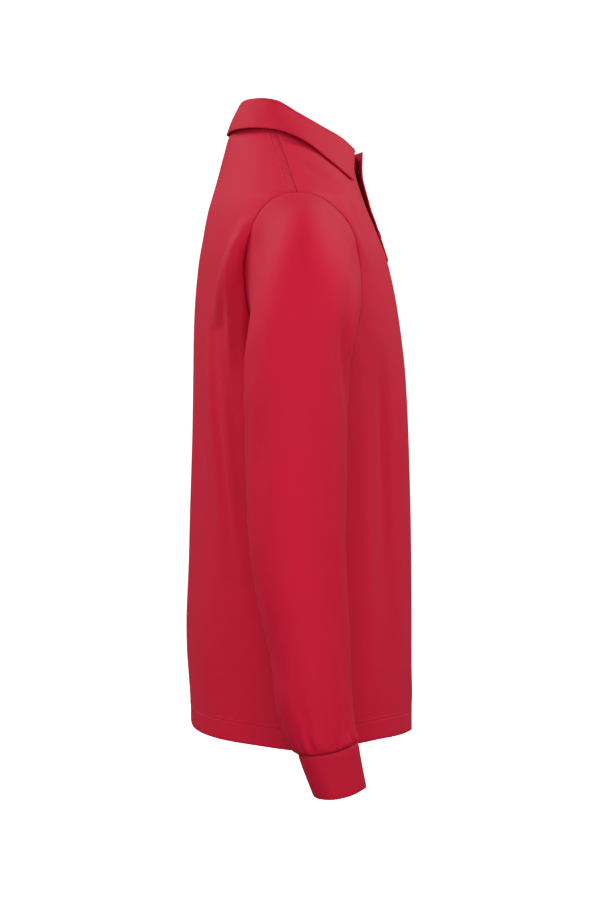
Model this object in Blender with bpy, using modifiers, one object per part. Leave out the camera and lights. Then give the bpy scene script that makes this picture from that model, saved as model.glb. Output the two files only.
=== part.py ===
"""A long-sleeved polo shirt, filled out as it hangs on shoulders, with nobody in it.

Metres, +Z up, the front towards -Y and the wearer's left towards +X. The origin is the
middle of the neck opening, level with the points where shoulder seams meet the collar.
Every piece is the outer face of its cloth, given its thickness inwards by Solidify.
"""

from collections import namedtuple
from math import pi

import bpy
import numpy as np
from mathutils import Vector

COLLECTION = "polo_shirt"

# Cloth and seams
BODY_CLOTH = 0.0016
COLLAR_CLOTH = 0.0015
CUFF_CLOTH = 0.0024
SEAM_HALF_GAP = 0.0004
SHOULDER_HALF_GAP = 0.0006
SLEEVE_GAP = 0.0006
CUFF_GAP = 0.0006
COLLAR_GAP = 0.0012

# Grid sizes
SHOULDER_COLUMNS = 6
NECK_COLUMNS = 9
HALF_COLUMNS = SHOULDER_COLUMNS + NECK_COLUMNS
LOW_ROWS = 10
ARM_ROWS = 13
SLEEVE_AROUND = 2 * ARM_ROWS
SLEEVE_RINGS = 22
CUFF_RINGS = 4

# Heights of the body
UNDERARM_Z = -0.297
SHOULDER_TIP_Z = -0.090

# Hem heights round each panel, at angles in degrees from a side seam to the centre
Hem = namedtuple("Hem", "angle front back")
HEM = (
    Hem(0.0, -0.7035, -0.7035),
    Hem(20.0, -0.6985, -0.6980),
    Hem(45.0, -0.6945, -0.6945),
    Hem(70.0, -0.6950, -0.6910),
    Hem(90.0, -0.6985, -0.6850),
)

# Body sections, from the hem up. Squareness is the exponent of the superellipse.
Section = namedtuple("Section", "z half_width front back seam_y squareness")
BODY = (
    Section(-0.720, 0.203, 0.1315, 0.1275, 0.000, 2.35),
    Section(-0.640, 0.203, 0.1312, 0.1290, 0.000, 2.35),
    Section(-0.558, 0.201, 0.1311, 0.1313, 0.000, 2.35),
    Section(-0.487, 0.199, 0.1306, 0.1305, 0.000, 2.35),
    Section(-0.396, 0.198, 0.1287, 0.1280, 0.000, 2.35),
    Section(-0.293, 0.203, 0.1245, 0.1243, 0.000, 2.30),
    Section(-0.221, 0.212, 0.1165, 0.1220, 0.000, 2.25),
    Section(-0.155, 0.220, 0.1035, 0.1185, 0.000, 2.15),
    Section(-0.118, 0.2225, 0.0900, 0.1130, 0.001, 2.05),
    Section(-0.104, 0.2205, 0.0845, 0.1105, 0.002, 2.00),
    Section(-0.090, 0.215, 0.0785, 0.1075, 0.003, 1.95),
    Section(-0.081, 0.2015, 0.0755, 0.1050, 0.0055, 1.90),
    Section(-0.054, 0.161, 0.0670, 0.0975, 0.0130, 1.80),
    Section(-0.027, 0.1205, 0.0615, 0.0905, 0.0215, 1.75),
    Section(0.000, 0.080, 0.0540, 0.0825, 0.030, 1.75),
    Section(0.012, 0.062, 0.0500, 0.0740, 0.034, 1.80),
)

# Soft folds of the body: a ridge above zero, a trough below. Angles in degrees run from
# the wearer's right side seam (0) through the centre (90) to the left one (180).
Fold = namedtuple("Fold", "panel top_angle top_z low_angle low_z width height")
BODY_FOLDS = (
    Fold("back", 60.0, -0.190, 33.0, -0.520, 0.013, 0.0045),
    Fold("back", 47.0, -0.225, 22.0, -0.560, 0.012, 0.0040),
    Fold("back", 52.0, -0.215, 27.0, -0.540, 0.010, -0.0030),
    Fold("back", 31.0, -0.115, 47.0, -0.235, 0.016, 0.0110),
    Fold("back", 18.0, -0.235, 12.0, -0.470, 0.016, -0.0050),
    Fold("back", 128.0, -0.185, 151.0, -0.500, 0.014, 0.0040),
    Fold("back", 149.0, -0.120, 134.0, -0.230, 0.016, 0.0090),
    Fold("back", 165.0, -0.240, 168.0, -0.440, 0.016, -0.0045),
    Fold("back", 96.0, -0.330, 100.0, -0.640, 0.026, -0.0030),
    Fold("front", 46.0, -0.250, 45.0, -0.690, 0.022, -0.0040),
    Fold("front", 30.0, -0.290, 28.0, -0.700, 0.018, 0.0030),
    Fold("front", 138.0, -0.280, 133.0, -0.690, 0.024, -0.0035),
    Fold("front", 152.0, -0.330, 155.0, -0.660, 0.018, 0.0030),
    Fold("front", 31.0, -0.045, 44.0, -0.175, 0.014, 0.0035),
    Fold("front", 148.0, -0.050, 137.0, -0.165, 0.015, 0.0030),
)

# How fast a fold rises from its ends
FOLD_TAPER = 0.8

# Armhole, as its outline looks from the side
ARMHOLE_FRONT = 0.068
ARMHOLE_BACK = 0.0635
ARMHOLE_SQUARENESS = 2.3

# Neckline
NECK_HALF = 0.080
NECK_FRONT_Z = -0.027
NECK_BACK_Z = 0.007
NECK_CROWDING = 1.5
NECK_CENTRE_Y = 0.005

# Sleeve sections, from the armhole down to the cuff seam: the middle (x outwards), half
# the width front to back, half the thickness, the lean of the ring from upright (0) to
# level (90), and the pitch of its front upwards, both in degrees.
Ring = namedtuple("Ring", "x y z half_width half_thick lean pitch")
SLEEVE = (
    Ring(0.2100, -0.0020, -0.1935, 0.0655, 0.1037, 2.8, 0.0),
    Ring(0.2210, -0.0045, -0.2000, 0.0620, 0.1000, 8.0, 0.0),
    Ring(0.2350, -0.0050, -0.2125, 0.0595, 0.0944, 16.5, 0.0),
    Ring(0.2460, -0.0038, -0.2310, 0.0570, 0.0872, 25.0, 0.0),
    Ring(0.2530, 0.0000, -0.2585, 0.0545, 0.0773, 34.7, 0.0),
    Ring(0.2560, 0.0042, -0.2925, 0.0540, 0.0670, 45.0, 0.0),
    Ring(0.2560, 0.0040, -0.3325, 0.0554, 0.0582, 56.0, 0.0),
    Ring(0.2543, 0.0040, -0.3750, 0.0550, 0.0518, 67.0, 0.0),
    Ring(0.2523, 0.0038, -0.4200, 0.0543, 0.0478, 78.0, 0.0),
    Ring(0.2500, 0.0026, -0.4735, 0.0526, 0.0451, 86.0, 0.0),
    Ring(0.2480, -0.0021, -0.5300, 0.0494, 0.0430, 90.0, 0.0),
    Ring(0.2460, -0.0104, -0.5900, 0.0437, 0.0395, 90.0, 3.0),
    Ring(0.2445, -0.0163, -0.6400, 0.0403, 0.0365, 90.0, 6.0),
    Ring(0.2430, -0.0240, -0.6800, 0.0370, 0.0320, 90.0, 10.0),
    Ring(0.2425, -0.0300, -0.6945, 0.0345, 0.0285, 90.0, 12.0),
)
CUFF = (
    Ring(0.2425, -0.0303, -0.6945, 0.0338, 0.0278, 90.0, 12.0),
    Ring(0.2422, -0.0338, -0.7090, 0.0325, 0.0266, 90.0, 12.5),
    Ring(0.2418, -0.0385, -0.7270, 0.0308, 0.0252, 90.0, 13.5),
    Ring(0.2415, -0.0428, -0.7425, 0.0292, 0.0240, 90.0, 14.5),
)
SLEEVE_SQUARENESS = 2.1
ARMHOLE_BLEND = 0.28
CUFF_GATHERS = 7
GATHER_DEPTH = 0.0016
GATHER_RINGS = 3

# Folds of a sleeve. Angles run round it: outer side 0, front 90, inner side 180, back 270.
SleeveFold = namedtuple("SleeveFold", "top_angle top_z low_angle low_z width height")
SLEEVE_FOLDS = (
    SleeveFold(70.0, -0.175, 96.0, -0.330, 0.010, 0.0040),
    SleeveFold(62.0, -0.230, 80.0, -0.345, 0.009, -0.0030),
    SleeveFold(40.0, -0.150, 52.0, -0.300, 0.016, 0.0025),
    SleeveFold(285.0, -0.190, 272.0, -0.340, 0.012, 0.0030),
    SleeveFold(320.0, -0.300, 300.0, -0.470, 0.016, -0.0025),
    SleeveFold(288.0, -0.600, 275.0, -0.700, 0.009, 0.0030),
    SleeveFold(308.0, -0.615, 296.0, -0.705, 0.009, 0.0025),
    SleeveFold(35.0, -0.470, 55.0, -0.640, 0.014, -0.0020),
)

# Collar stations, from the middle of the back to the front end: how far round the
# neckline each stands, and where the fold and the lower edge lie.
Station = namedtuple("Station", "round_neck fold_x fold_y fold_z edge_x edge_y edge_z")
COLLAR = (
    Station(0.00, 0.0000, 0.0675, 0.0370, 0.0000, 0.0865, -0.0010),
    Station(0.22, 0.0390, 0.0620, 0.0368, 0.0480, 0.0785, -0.0010),
    Station(0.38, 0.0600, 0.0465, 0.0355, 0.0800, 0.0590, -0.0015),
    Station(0.50, 0.0690, 0.0280, 0.0315, 0.0965, 0.0300, -0.0050),
    Station(0.64, 0.0690, 0.0000, 0.0155, 0.1110, -0.0070, -0.0205),
    Station(0.77, 0.0610, -0.0265, 0.0015, 0.1105, -0.0330, -0.0400),
    Station(0.89, 0.0480, -0.0485, -0.0105, 0.0970, -0.0510, -0.0530),
    Station(1.00, 0.0320, -0.0640, -0.0210, 0.0770, -0.0635, -0.0595),
)
COLLAR_COLUMNS = 17
COLLAR_END_X = 0.0190
COLLAR_LIFT_FROM = 0.60
FOLD_RADIUS = 0.0032
STAND_STEPS = 3
FOLD_STEPS = 4
FALL_STEPS = 4

# Placket
PLACKET_HALF = 0.016
PLACKET_LOW_Z = -0.150
PLACKET_TOP_Z = -0.0225
PLACKET_CLOTH = 0.0018
PLACKET_ROWS = 10
PLACKET_COLUMNS = 4
PLACKET_CLEAR = 0.0004
FLARE = 0.0080
FLARE_END_Z = -0.142
FLARE_CURL = 1.2
SLOT_ROWS = 7

# Buttons
BUTTON_RADIUS = 0.00575
BUTTON_THICK = 0.0020
BUTTON_SIDES = 16
BUTTON_RIM = 0.0005
BUTTON_CLEAR = 0.0005
Button = namedtuple("Button", "name x z open_on_under")
BUTTONS = (
    Button("button_top", -0.0050, -0.038, True),
    Button("button_middle", 0.0, -0.080, False),
    Button("button_low", 0.0, -0.118, False),
)

# Finishes, with linear colours
CLOTH_ROUGHNESS = 0.85
BUTTON_ROUGHNESS = 0.40
RED_COTTON = (0.560, 0.022, 0.042, 1.0)
RED_RIB = (0.530, 0.019, 0.038, 1.0)
RED_BUTTON = (0.400, 0.014, 0.026, 1.0)


def smooth_curve(xs, ys):
    """Return a function through the points (xs, ys) that has no overshoot."""
    xs = np.asarray(xs, float)
    ys = np.asarray(ys, float)
    steps = np.diff(xs)
    slopes = np.diff(ys) / steps
    tangents = np.zeros(len(xs))
    tangents[0] = slopes[0]
    tangents[-1] = slopes[-1]
    for i in range(1, len(xs) - 1):
        if slopes[i - 1] * slopes[i] > 0.0:
            near = 2.0 * steps[i] + steps[i - 1]
            far = steps[i] + 2.0 * steps[i - 1]
            tangents[i] = (near + far) / (near / slopes[i - 1] + far / slopes[i])

    def value(x):
        x = np.asarray(x, float)
        i = np.clip(np.searchsorted(xs, x) - 1, 0, len(steps) - 1)
        t = np.clip((x - xs[i]) / steps[i], 0.0, 1.0)
        rise = t * t * (3.0 - 2.0 * t)
        leave = t * (1.0 - t) ** 2
        arrive = t * t * (t - 1.0)
        turn = steps[i] * (leave * tangents[i] + arrive * tangents[i + 1])
        return ys[i] + rise * (ys[i + 1] - ys[i]) + turn

    return value


def curves_of(table, key):
    """Return a smooth curve for each column of a table, over its key column."""
    keys = [getattr(row, key) for row in table]
    names = [name for name in table[0]._fields if name != key]
    return {name: smooth_curve(keys, [getattr(row, name) for row in table]) for name in names}


BODY_CURVES = curves_of(BODY, "z")


def signed_power(value, power):
    """Raise the size of a value to a power and keep its sign."""
    return np.sign(value) * np.abs(value) ** power


def fold_heights(folds, angle, z, radius):
    """Sum the heights of soft folds at angles (degrees) and heights on a round form."""
    total = np.zeros(np.shape(angle))
    for fold in folds:
        along = (fold.top_z - z) / (fold.top_z - fold.low_z)
        inside = np.clip(along, 0.0, 1.0)
        middle = fold.top_angle + (fold.low_angle - fold.top_angle) * inside
        turned = (angle - middle + 180.0) % 360.0 - 180.0
        across = np.radians(turned) * radius / fold.width
        total = total + fold.height * np.exp(-across * across) * np.sin(pi * inside) ** FOLD_TAPER
    return total


def panel_name(side):
    """Return the name of the panel on a side."""
    return "front" if side < 0 else "back"


def panel_depth(z, side):
    """Return how far a panel's centre stands in front of or behind the side seams."""
    seam_y = BODY_CURVES["seam_y"](z)
    if side < 0:
        return BODY_CURVES["front"](z) + seam_y
    return BODY_CURVES["back"](z) - seam_y


def body_point(angle, z, side, lift=0.0):
    """Return points of the body's outer face, at angles (radians) round a panel.

    side is -1 on the front and 1 on the back; lift moves the points out of the face.
    """
    width = BODY_CURVES["half_width"](z)
    depth = panel_depth(z, side)
    power = 2.0 / BODY_CURVES["squareness"](z)
    x_part = signed_power(np.cos(angle), power)
    y_part = np.abs(np.sin(angle)) ** power
    x = -width * x_part
    y = BODY_CURVES["seam_y"](z) + side * depth * y_part
    out_x = -signed_power(x_part, 2.0 / power - 1.0) / width
    out_y = side * y_part ** (2.0 / power - 1.0) / depth
    size = np.hypot(out_x, out_y)
    folds = [fold for fold in BODY_FOLDS if fold.panel == panel_name(side)]
    out = lift + fold_heights(folds, np.degrees(angle), z, 0.5 * (width + depth))
    return np.stack([x + out * out_x / size, y + out * out_y / size, z], axis=-1)


def angle_at_x(x, z):
    """Return the angle round a panel at which the body is x to the right of the centre."""
    ratio = np.clip(x / BODY_CURVES["half_width"](z), 0.0, 1.0)
    return np.arccos(ratio ** (BODY_CURVES["squareness"](z) / 2.0))


def x_at_angle(angle, z):
    """Return how far to the right of the centre the body is at an angle round a panel."""
    power = 2.0 / BODY_CURVES["squareness"](z)
    return BODY_CURVES["half_width"](z) * np.cos(angle) ** power


def armhole(turn, side):
    """Return the angle and height of the armhole at turns from the top (0) down (pi)."""
    power = 2.0 / ARMHOLE_SQUARENESS
    middle = 0.5 * (SHOULDER_TIP_Z + UNDERARM_Z)
    half = 0.5 * (SHOULDER_TIP_Z - UNDERARM_Z)
    z = middle + half * signed_power(np.cos(turn), power)
    reach = (ARMHOLE_FRONT if side < 0 else ARMHOLE_BACK) * np.abs(np.sin(turn)) ** power
    ratio = np.clip(reach / panel_depth(z, side), 0.0, 1.0)
    return np.arcsin(ratio ** (BODY_CURVES["squareness"](z) / 2.0)), z


def neckline(part, side):
    """Return the angle and height of the neckline, from its centre (0) to the side (1)."""
    if side < 0:
        swing = 0.5 * pi * (1.0 - (1.0 - part) ** NECK_CROWDING)
        z = NECK_FRONT_Z * np.cos(swing)
        return angle_at_x(NECK_HALF * np.sin(swing), z), z
    swing = 0.5 * pi * part
    z = NECK_BACK_Z * np.cos(swing)
    return 0.5 * pi - swing, z


def front_part_at(x):
    """Return the part of the way along the front neckline that is x from the centre."""
    swing = np.arcsin(x / NECK_HALF)
    return 1.0 - (1.0 - 2.0 * swing / pi) ** (1.0 / NECK_CROWDING)


def fill_patch(bottom, top, left, right):
    """Fill four edges, each a row of (x, z) pairs, with a grid of such pairs.

    The rows crowd towards the top as the left edge's heights do.
    """
    across = np.linspace(0.0, 1.0, len(bottom))[None, :, None]
    up = ((left[:, 1] - left[0, 1]) / (left[-1, 1] - left[0, 1]))[:, None, None]
    rows = (1.0 - up) * bottom[None] + up * top[None]
    columns = (1.0 - across) * left[:, None] + across * right[:, None]
    low = (1.0 - across) * bottom[0] + across * bottom[-1]
    high = (1.0 - across) * top[0] + across * top[-1]
    return rows + columns - ((1.0 - up) * low + up * high)


def half_panel(side):
    """Return the grid of (angle, height) pairs of a panel's right half, hem to top."""
    centre_x = PLACKET_HALF if side < 0 else 0.0
    arm_angle, arm_z = armhole(np.linspace(pi, 0.0, ARM_ROWS + 1), side)

    shoulder_z = np.linspace(SHOULDER_TIP_Z, 0.0, SHOULDER_COLUMNS + 1)
    end_part = front_part_at(centre_x) if side < 0 else 0.0
    neck_angle, neck_z = neckline(np.linspace(1.0, end_part, NECK_COLUMNS + 1)[1:], side)
    top_angle = np.concatenate([np.zeros(SHOULDER_COLUMNS + 1), neck_angle])
    top_z = np.concatenate([shoulder_z, neck_z])

    if side < 0:
        below = np.linspace(UNDERARM_Z, PLACKET_LOW_Z, ARM_ROWS - SLOT_ROWS + 1)
        beside = np.linspace(PLACKET_LOW_Z, top_z[-1], SLOT_ROWS + 1)[1:]
        centre_z = np.concatenate([below, beside])
    else:
        centre_z = np.linspace(UNDERARM_Z, top_z[-1], ARM_ROWS + 1)
    centre_angle = angle_at_x(centre_x, centre_z)

    spread = np.linspace(0.0, 1.0, HALF_COLUMNS + 1)
    bottom_angle = spread * centre_angle[0]
    bottom_z = np.full(len(spread), UNDERARM_Z)
    edges = ((bottom_angle, bottom_z), (top_angle, top_z),
             (arm_angle, arm_z), (centre_angle, centre_z))
    flat = fill_patch(*(np.stack([x_at_angle(*edge), edge[1]], axis=-1) for edge in edges))
    upper_z = flat[..., 1]
    upper_angle = angle_at_x(flat[..., 0], upper_z)

    fraction = np.linspace(0.0, 1.0, LOW_ROWS + 1)[:-1, None]
    hem = curves_of(HEM, "angle")[panel_name(side)](90.0 * spread)[None, :]
    low_z = hem + (UNDERARM_Z - hem) * fraction
    low_angle = spread[None, :] * angle_at_x(centre_x, low_z[:, -1])[:, None]
    angle = np.concatenate([low_angle, upper_angle])
    return np.stack([angle, np.concatenate([low_z, upper_z])], axis=-1)


def panel_points(side):
    """Return a panel's outer face as rows of points, from the hem up."""
    half = half_panel(side)
    right = body_point(half[..., 0], half[..., 1], side)
    left = body_point(pi - half[..., 0], half[..., 1], side)[:, ::-1]
    right[:LOW_ROWS + 1, 0, 1] += side * SEAM_HALF_GAP
    left[:LOW_ROWS + 1, -1, 1] += side * SEAM_HALF_GAP
    right[-1, :SHOULDER_COLUMNS + 1, 1] += side * SHOULDER_HALF_GAP
    left[-1, -SHOULDER_COLUMNS - 1:, 1] += side * SHOULDER_HALF_GAP
    if side < 0:
        z = half[:, -1, 1]
        centre = body_point(np.full(len(z), 0.5 * pi), z, side)[:, None]
        return np.concatenate([right, centre, left], axis=1)
    return np.concatenate([right, left[:, 1:]], axis=1)


def ring_points(curves, at, turns, outward, dent=0.0):
    """Return rings of points at positions down a sleeve table, one row for each."""
    at = at[:, None]
    lean = np.radians(curves["lean"](at))
    pitch = np.radians(curves["pitch"](at))
    power = 2.0 / SLEEVE_SQUARENESS
    out = signed_power(np.cos(turns)[None, :], power) * (curves["half_thick"](at) + dent)
    forth = signed_power(np.sin(turns)[None, :], power) * (curves["half_width"](at) + dent)
    x = curves["x"](at) + out * np.sin(lean)
    y = curves["y"](at) - forth * np.cos(pitch)
    z = curves["z"](at) + out * np.cos(lean) + forth * np.sin(pitch)
    return np.stack([outward * x, y, z], axis=-1)


def table_curves(table):
    """Return smooth curves of a ring table over the position down it, 0 to 1."""
    at = np.linspace(0.0, 1.0, len(table))
    return {name: smooth_curve(at, [getattr(row, name) for row in table])
            for name in Ring._fields}


def armhole_ring(turns, outward):
    """Return the armhole on the body's face at turns from the top round by the front."""
    ring = np.zeros((len(turns), 3))
    for side, chosen in ((-1, turns <= pi), (1, turns > pi)):
        angle, z = armhole(turns[chosen], side)
        angle = angle if outward < 0 else pi - angle
        ring[chosen] = body_point(angle, z, side)
    ring[:, 0] += outward * SLEEVE_GAP
    return ring


def sleeve_points(outward):
    """Return a sleeve's outer face as rings of points, from the armhole to the cuff."""
    curves = table_curves(SLEEVE)
    turns = np.arange(SLEEVE_AROUND) * 2.0 * pi / SLEEVE_AROUND
    at = np.linspace(0.0, 1.0, SLEEVE_RINGS)
    plain = ring_points(curves, at, turns, outward)
    radius = curves["half_width"](at)[:, None]
    angle = np.degrees(turns)[None, :] + 0.0 * radius
    fade = np.clip(at / ARMHOLE_BLEND, 0.0, 1.0)[:, None]
    dent = fade * fold_heights(SLEEVE_FOLDS, angle, plain[..., 2], radius)
    gather_start = at[-1 - GATHER_RINGS]
    near_cuff = np.clip((at - gather_start) / (1.0 - gather_start), 0.0, 1.0)[:, None]
    waves = np.sin(near_cuff * pi) * GATHER_DEPTH * np.cos(CUFF_GATHERS * turns)[None, :]
    rings = ring_points(curves, at, turns, outward, dent + waves)
    left_over = armhole_ring(turns, outward) - rings[0]
    weight = (1.0 - np.clip(at / ARMHOLE_BLEND, 0.0, 1.0)) ** 2
    return rings + weight[:, None, None] * left_over[None]


def cuff_points(outward):
    """Return a cuff's outer face as rings of points, from its seam down."""
    turns = np.arange(SLEEVE_AROUND) * 2.0 * pi / SLEEVE_AROUND
    at = np.linspace(0.0, 1.0, CUFF_RINGS)
    rings = ring_points(table_curves(CUFF), at, turns, outward)
    rings[..., 2] -= CUFF_GAP
    return rings


def neck_seam(round_neck):
    """Return the neck seam at parts of the way from the back's middle to the front end."""
    end_part = front_part_at(COLLAR_END_X)
    if round_neck <= 0.5:
        angle, z = neckline(np.array(2.0 * round_neck), 1)
        return body_point(angle, z, 1)
    angle, z = neckline(np.array(1.0 - (2.0 * round_neck - 1.0) * (1.0 - end_part)), -1)
    return body_point(angle, z, -1)


def collar_profile(base, fold, edge):
    """Return one profile: up the stand, over the fold and down the fall."""
    away = edge - fold
    away[2] = 0.0
    away /= np.linalg.norm(away)
    up = np.array([0.0, 0.0, 1.0])
    middle = fold + away * FOLD_RADIUS - up * FOLD_RADIUS
    inner = middle - away * FOLD_RADIUS
    swings = np.linspace(pi, 0.0, FOLD_STEPS + 1)
    crest = [middle + FOLD_RADIUS * (np.cos(s) * away + np.sin(s) * up) for s in swings]
    stand = [base + (inner - base) * i / STAND_STEPS for i in range(STAND_STEPS)]
    fall = [crest[-1] + (edge - crest[-1]) * i / FALL_STEPS for i in range(1, FALL_STEPS + 1)]
    return np.array(stand + crest + fall)


def collar_points():
    """Return the collar's visible face as profiles, from the right end to the left."""
    curves = curves_of(COLLAR, "round_neck")
    profiles = []
    for i in range(-COLLAR_COLUMNS, COLLAR_COLUMNS + 1):
        place = abs(i) / COLLAR_COLUMNS
        mirror = np.array([1.0 if i >= 0 else -1.0, 1.0, 1.0])
        base = neck_seam(place) * np.array([-1.0, 1.0, 1.0])
        inwards = np.array([0.0, NECK_CENTRE_Y, 0.0]) - base
        inwards[2] = 0.0
        base = base + inwards / np.linalg.norm(inwards) * COLLAR_CLOTH
        base[2] += COLLAR_GAP
        base[2] += COLLAR_CLOTH * max(0.0, place - COLLAR_LIFT_FROM) / (1.0 - COLLAR_LIFT_FROM)
        fold = np.array([curves["fold_" + axis](place) for axis in "xyz"])
        edge = np.array([curves["edge_" + axis](place) for axis in "xyz"])
        profiles.append(collar_profile(base, fold, edge) * mirror)
    return np.array(profiles)


def placket_face(x, z, lift, flare):
    """Return points of a placket's outer face, x to the left of the front's centre."""
    right = angle_at_x(np.abs(x), z)
    angle = np.where(x < 0.0, right, pi - right)
    height = np.clip((z - FLARE_END_Z) / (PLACKET_TOP_Z - FLARE_END_Z), 0.0, 1.0)
    swing = 0.5 * (1.0 - x / PLACKET_HALF)
    return body_point(angle, z, -1, lift + flare * height * swing ** FLARE_CURL)


def placket_points(lift, flare, half_width):
    """Return a placket's outer face as rows of points, from its foot up."""
    z = np.linspace(PLACKET_LOW_Z + SEAM_HALF_GAP, PLACKET_TOP_Z, PLACKET_ROWS + 1)[:, None]
    x = np.linspace(-half_width, half_width, PLACKET_COLUMNS + 1)[None, :]
    return placket_face(x + 0.0 * z, z + 0.0 * x, lift, flare)


def grid_faces(rows, columns, closed, skip):
    """Return the quads of a grid, closed round its columns or not, less those skipped."""
    faces = []
    for row in range(rows - 1):
        for column in range(columns if closed else columns - 1):
            if skip(row, column):
                continue
            after = (column + 1) % columns
            low = row * columns
            high = low + columns
            faces.append((low + column, low + after, high + after, high + column))
    return faces


def add_material(name, colour, roughness):
    """Return a new material with the given finish."""
    material = bpy.data.materials.new(name)
    material.use_nodes = True
    shader = material.node_tree.nodes["Principled BSDF"]
    shader.inputs["Base Color"].default_value = colour
    shader.inputs["Roughness"].default_value = roughness
    shader.inputs["Metallic"].default_value = 0.0
    material.diffuse_color = colour
    return material


def add_object(collection, name, mesh, colour, roughness):
    """Link a mesh to the collection as a smooth object with its own material."""
    mesh.materials.append(add_material(name + "_finish", colour, roughness))
    mesh.shade_smooth()
    item = bpy.data.objects.new(name, mesh)
    collection.objects.link(item)
    return item


def add_cloth(collection, name, points, thickness, colour, closed=False, flip=False, skip=None):
    """Add a grid of points as cloth with its thickness laid inside the given face."""
    rows, columns = points.shape[:2]
    faces = grid_faces(rows, columns, closed, skip or (lambda row, column: False))
    if flip:
        faces = [face[::-1] for face in faces]
    used = sorted({corner for face in faces for corner in face})
    place = {corner: i for i, corner in enumerate(used)}
    mesh = bpy.data.meshes.new(name)
    flat = points.reshape(-1, 3)
    mesh.from_pydata([tuple(flat[i]) for i in used], [],
                     [tuple(place[corner] for corner in face) for face in faces])
    mesh.validate()
    item = add_object(collection, name, mesh, colour, CLOTH_ROUGHNESS)
    solidify = item.modifiers.new("thickness", "SOLIDIFY")
    solidify.thickness = thickness
    solidify.offset = -1.0
    return item


def add_panels(collection):
    """Add the front, with its slot for the placket, and the back."""
    slot_row = LOW_ROWS + ARM_ROWS - SLOT_ROWS

    def in_slot(row, column):
        return row >= slot_row and column in (HALF_COLUMNS, HALF_COLUMNS + 1)

    front = panel_points(-1)
    add_cloth(collection, "front", front, BODY_CLOTH, RED_COTTON, skip=in_slot)
    add_cloth(collection, "back", panel_points(1), BODY_CLOTH, RED_COTTON, flip=True)


def add_sleeves(collection):
    """Add both sleeves and both cuffs."""
    for name, outward in (("right", -1.0), ("left", 1.0)):
        flip = outward < 0.0
        add_cloth(collection, name + "_sleeve", sleeve_points(outward), BODY_CLOTH,
                  RED_COTTON, closed=True, flip=flip)
        add_cloth(collection, name + "_cuff", cuff_points(outward), CUFF_CLOTH,
                  RED_RIB, closed=True, flip=flip)


def add_plackets(collection):
    """Add the under placket in the slot and the upper one over it."""
    under = placket_points(0.0, 0.0, PLACKET_HALF - 2.0 * SEAM_HALF_GAP)
    add_cloth(collection, "under_placket", under, BODY_CLOTH, RED_COTTON)
    lift = PLACKET_CLOTH + PLACKET_CLEAR
    upper = placket_points(lift, FLARE, PLACKET_HALF)
    add_cloth(collection, "upper_placket", upper, PLACKET_CLOTH, RED_COTTON)


def add_buttons(collection):
    """Add the buttons, the top one on the under placket and the others fastened."""
    for button in BUTTONS:
        lift = 0.0 if button.open_on_under else PLACKET_CLOTH + PLACKET_CLEAR
        flare = 0.0 if button.open_on_under else FLARE
        step = 0.5 * BUTTON_RADIUS
        x = button.x + step * np.array([0.0, -1.0, 1.0, 0.0, 0.0])
        z = button.z + step * np.array([0.0, 0.0, 0.0, -1.0, 1.0])
        seat, right, left, low, high = placket_face(x, z, lift, flare)
        out = np.cross(left - right, high - low)
        out /= np.linalg.norm(out)
        bpy.ops.mesh.primitive_cylinder_add(
            vertices=BUTTON_SIDES, radius=BUTTON_RADIUS, depth=BUTTON_THICK)
        item = bpy.context.active_object
        item.name = button.name
        for holder in item.users_collection:
            holder.objects.unlink(item)
        collection.objects.link(item)
        item.data.materials.append(add_material(button.name + "_finish", RED_BUTTON, BUTTON_ROUGHNESS))
        rise = 0.5 * BUTTON_THICK + BUTTON_CLEAR
        item.location = seat + out * rise
        item.rotation_euler = Vector(out).to_track_quat("Z", "Y").to_euler()
        bevel = item.modifiers.new("rim", "BEVEL")
        bevel.width = BUTTON_RIM
        bevel.segments = 1
        item.data.shade_smooth()


def main():
    """Clear the scene and build the shirt."""
    for item in list(bpy.data.objects):
        bpy.data.objects.remove(item)
    collection = bpy.data.collections.new(COLLECTION)
    bpy.context.scene.collection.children.link(collection)
    add_panels(collection)
    add_sleeves(collection)
    add_cloth(collection, "collar", collar_points(), COLLAR_CLOTH, RED_RIB, flip=True)
    add_plackets(collection)
    add_buttons(collection)


main()
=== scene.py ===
"""Looks of a long-sleeved polo shirt, filled out as it hangs on shoulders.

Metres, +Z up, the front towards -Y and the wearer's left towards +X. Each piece is a thin
shell of cloth on the form of its CAD node, with its own creases, seams and stitching.
"""
import logging
from dataclasses import dataclass
from enum import Enum
from math import pi
from typing import Callable, Sequence

import bpy
import numpy as np
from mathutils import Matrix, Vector


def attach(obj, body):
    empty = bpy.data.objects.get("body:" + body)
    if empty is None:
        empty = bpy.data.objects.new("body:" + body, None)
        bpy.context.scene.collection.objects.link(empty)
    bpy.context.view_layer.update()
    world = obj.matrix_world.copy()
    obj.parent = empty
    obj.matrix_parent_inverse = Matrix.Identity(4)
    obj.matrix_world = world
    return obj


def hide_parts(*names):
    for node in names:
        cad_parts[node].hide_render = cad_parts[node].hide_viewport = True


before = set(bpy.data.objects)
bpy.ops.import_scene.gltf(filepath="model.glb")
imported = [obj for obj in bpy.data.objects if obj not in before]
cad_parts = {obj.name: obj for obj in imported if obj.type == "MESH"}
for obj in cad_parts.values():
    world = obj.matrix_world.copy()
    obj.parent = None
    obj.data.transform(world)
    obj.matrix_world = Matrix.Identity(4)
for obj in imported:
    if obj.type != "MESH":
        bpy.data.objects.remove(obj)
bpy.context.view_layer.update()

LOG = logging.getLogger("polo_shirt")
CLOTH_SUFFIX = "_cloth"
BUTTON_SUFFIX = "_resin"
FAR = 1e9
TINY, TINIEST = 1e-12, 1e-18

Array = np.ndarray
Material = bpy.types.Material
Item = bpy.types.Object
Faces = list[list[int]]
Table = Sequence[Sequence[float]]
Curves = dict[str, "SmoothCurve"]


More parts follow.
